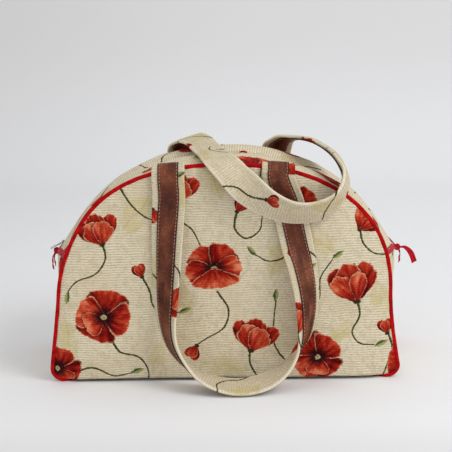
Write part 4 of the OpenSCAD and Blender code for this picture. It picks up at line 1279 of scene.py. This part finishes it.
# %% Fine thread group and its finishes
w, given, out = new_group("fine_threads", {"Place": "Vector", "Pitch": "Float", "Slant": "Float"},
                          {"Shade": "Float", "Height": "Float"})
turned = w.node("VectorRotate", {"Vector": given["Place"], "Angle": given["Slant"]},
                rotation_type="Z_AXIS").outputs[0]
s_axis, t_axis, _ = w.parts(w.vector("DIVIDE", turned, w.join(given["Pitch"], given["Pitch"], 1.0)))
over = w.math("SINE", w.math("MULTIPLY", s_axis, 2 * math.pi))
under = w.math("SINE", w.math("MULTIPLY", t_axis, 2 * math.pi))
threads_up = w.math("MULTIPLY_ADD", w.math("MULTIPLY", over, under), 0.25,
                    w.math("MULTIPLY_ADD", under, 0.25, 0.5))
dye = w.noise(w.scale(given["Place"], (120, 120, 1)), detail=3, rough=0.6)
dyed = w.math("MULTIPLY_ADD", dye, 1.4, -0.45)
w.put(out["Shade"], w.math("ADD", w.math("MULTIPLY", threads_up, 0.5), dyed))
w.put(out["Height"], threads_up)
thread_group = w.tree


def fine_cloth(name, pieces, dark, light, pitch, slant, rough, sheen, depth):
    made, w, skin = new_finish(name, Roughness=rough, Sheen_Weight=sheen, Specular_IOR_Level=0.1)
    woven = w.group(thread_group, Place=uv(w, "cloth"), Pitch=pitch, Slant=slant)
    w.put(skin.inputs["Base Color"], w.mix(w.smooth(woven["Shade"], 0.0, 1.0), dark, light))
    raised(w, skin, woven["Height"], depth)
    for piece in pieces:
        piece.data.materials.append(made)
    print(name, len(pieces), "pieces")


fine_cloth("piping_cloth", [front_piping, back_piping], srgb(116, 0, 4), srgb(212, 6, 12),
           0.0013, math.radians(40), 0.75, 0.0, 0.00025)
CRIMSON_DARK, CRIMSON_LIGHT = srgb(130, 0, 18), srgb(206, 4, 34)
straight_ribbons = [r for k, r in enumerate(ribbons) if k % 5 != 4]
fine_cloth("ribbon_satin", straight_ribbons, CRIMSON_DARK, CRIMSON_LIGHT,
           0.0006, 0.0, 0.5, 0.0, 0.00008)
fine_cloth("zip_tape_cloth", [front_tape, back_tape], srgb(150, 132, 102), srgb(214, 200, 168),
           0.0012, math.radians(35), 0.85, 0.1, 0.0002)
fine_cloth("lining_cotton", [lining], srgb(150, 134, 108), srgb(204, 190, 160),
           0.0011, 0.0, 0.9, 0.1, 0.0001)

# %% [markdown]
# ## Metal, thread and the rest
# Small parts have no flat cut to measure on, so their grain follows their place in space. The metal is a grey
# plated casting with rubbed spots, the thread is a pale cotton twist, and the base board is pressed fibre.


# %% Small finishes
def grainy(name, slot, pieces, dark, light, scale, depth, **sockets):
    made, w, skin = new_finish(name, **sockets)
    place = w.node("TexCoord").outputs["Object"]
    grain = w.noise(place, scale, 3.0, 0.6)
    blotch = w.noise(place, scale / 12, 2.0, 0.5)
    spots = w.math("ADD", w.math("MULTIPLY", grain, 0.6), w.math("MULTIPLY", blotch, 0.4))
    w.put(skin.inputs["Base Color"], w.mix(w.smooth(spots, 0.36, 0.64), dark, light))
    rough = sockets["Roughness"]
    w.put(skin.inputs["Roughness"], w.smooth(blotch, 0.35, 0.65, rough * 0.85, min(1.0, rough * 1.15)))
    raised(w, skin, grain, depth)
    for piece in pieces:
        piece.data.materials.append(made)
    print(name, len(pieces), "pieces")
    return made


grainy("zip_cast_metal", "zip_metal", [zip_slider, zip_pull, *stops], srgb(150, 150, 150), srgb(206, 206, 204),
       900, 0.00004, Roughness=0.36, Metallic=1.0)
grainy("zip_teeth_metal", "zip_teeth", [front_teeth, back_teeth], srgb(150, 140, 118), srgb(200, 190, 164),
       1500, 0.00004, Roughness=0.4, Metallic=1.0)
grainy("pale_thread", "leather", threads[::2], srgb(150, 110, 96), srgb(206, 172, 156),
       1800, 0.0001, Roughness=0.8)
grainy("hem_thread", "tapestry", [hem_thread, *threads[1::2]], srgb(170, 152, 116), srgb(222, 208, 176),
       1800, 0.0001, Roughness=0.8)
grainy("knot_satin", "ribbon", ribbons[4::5], CRIMSON_DARK, CRIMSON_LIGHT,
       1400, 0.0002, Roughness=0.5, Specular_IOR_Level=0.1)
board_finish = grainy("pressed_board", "board", [], srgb(92, 80, 66), srgb(142, 128, 108),
                      500, 0.0002, Roughness=0.9)
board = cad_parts["base_board"]
board.data.materials.clear()
board.data.materials.append(board_finish)

# %% [markdown]
# ## Cloth facts
# The sewn pieces are measured on their own flat maps, a handle is its width by the length of its route, and
# the lining's cut is an assumed length of cotton.


def flat_cut(piece):
    """Width, length and area of a piece's flat map, in metres."""
    mesh = piece.data
    flat = np.empty(len(mesh.loops) * 2)
    mesh.uv_layers["cloth"].data.foreach_get("uv", flat)
    flat = flat.reshape(-1, 4, 2)
    nxt = np.roll(flat, -1, axis=1)
    area = np.abs((flat[..., 0] * nxt[..., 1] - flat[..., 1] * nxt[..., 0]).sum(1) / 2).sum()
    wide, long = flat.reshape(-1, 2).max(0) - flat.reshape(-1, 2).min(0)
    return float(wide), float(long), float(area)


for piece, held, rests, trim in (
        (front_panel, "stretched", "lining", ()), (back_panel, "stretched", "lining", ()),
        (front_gusset, "stretched", "lining", [hem_thread]), (back_gusset, "stretched", "lining", ()),
        (left_end, "stretched", "lining", ribbons[:5]), (right_end, "stretched", "lining", ribbons[5:]),
        (base_cloth, "laid", "base_board", ()), (front_tape, "stretched", "front_gusset", [front_teeth]),
        (back_tape, "stretched", "back_gusset", [back_teeth])):
    wide, long, area = flat_cut(piece)
    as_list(trim)
    print(piece.name, "cut", round(wide * 1000), "x", round(long * 1000), "mm, area", round(area, 4))
for name, (band, strip) in handles.items():
    long = float((front_frames if name == "front" else back_frames)[3][-1])
    print(name, "handle", round(long * 1000), "mm long")

# %% [markdown]
# ## Studio
# The bag stands on a pale sweep: a floor that curves up into a wall behind it without an edge. Its paper has
# painted shade: it is painted a little darker far back and high up, to the left and close in front, where the
# light falls off. One large soft lamp shines from the upper right in front, and even light from all round
# fills the shade, so a soft shadow falls to the left.

# %% Sweep, lamps and world
SWEEP_R, SWEEP_BACK = 0.70, 1.50


def sweep_line(k):
    """Floor from the front, a quarter round, then a wall; k runs from 0 to 1."""
    front, bend, wall = 4.0, SWEEP_R * math.pi / 2, 2.5
    run = k * (front + bend + wall)
    if run < front:
        return SWEEP_BACK - front + run, 0.0
    if run < front + bend:
        a = (run - front) / SWEEP_R
        return SWEEP_BACK + SWEEP_R * math.sin(a), SWEEP_R * (1 - math.cos(a))
    return SWEEP_BACK + SWEEP_R, SWEEP_R + run - front - bend


bm = bmesh.new()
bmesh.ops.create_grid(bm, x_segments=2, y_segments=160, size=0.5)
for v in bm.verts:
    y, z = sweep_line(v.co.y + 0.5)
    v.co = (v.co.x * 9, y, z)
sweep_mesh = bpy.data.meshes.new("sweep")
bm.to_mesh(sweep_mesh)
bm.free()
sweep_mesh.polygons.foreach_set("use_smooth", [True] * len(sweep_mesh.polygons))
sweep = bpy.data.objects.new("sweep", sweep_mesh)
bpy.context.scene.collection.objects.link(sweep)
paper, w, skin = new_finish("sweep_paper", Roughness=0.95, Specular_IOR_Level=0.1)
place = w.node("TexCoord").outputs["Object"]
# Painted shade: the paper is painted darker far back and high up, to the left and close in front.
away = w.math("ADD", w.parts(place)[1], w.math("MULTIPLY_ADD", w.noise(place, 3.0, 2.0), 0.2, -0.1))
away = w.math("MULTIPLY_ADD", w.parts(place)[2], 4.0, away)
front = w.smooth(w.parts(place)[1], -0.24, -0.40, 0.0, 0.6)
left = w.smooth(w.parts(place)[0], 0.1, -1.2, 0.0, 0.5)
tone = w.mix(w.smooth(away, 1.6, 3.9), srgb(241, 242, 244), srgb(226, 226, 227))
tone = w.mix(left, tone, srgb(206, 206, 206))
w.put(skin.inputs["Base Color"], w.mix(front, tone, srgb(220, 221, 222)))
sweep_mesh.materials.append(paper)


def lamp(name, spot, aim, size, power, tint):
    light = bpy.data.lights.new(name, "AREA")
    light.shape, light.size, light.energy, light.color = "DISK", size, power, tint
    made = bpy.data.objects.new(name, light)
    made.location = spot
    made.rotation_mode = "QUATERNION"
    made.rotation_quaternion = (Vector(spot) - Vector(aim)).to_track_quat("Z", "Y")
    bpy.context.scene.collection.objects.link(made)


lamp("key", (2.1, -1.7, 2.3), (0, 0, 0.12), 1.9, 43.5, (1.0, 0.996, 0.99))
world = bpy.data.worlds.new("even_light")
bpy.context.scene.world = world
world.use_nodes = True
world.node_tree.nodes["Background"].inputs["Color"].default_value = (1, 1, 1, 1)
world.node_tree.nodes["Background"].inputs["Strength"].default_value = 0.76
bpy.context.scene.view_settings.view_transform = "Standard"
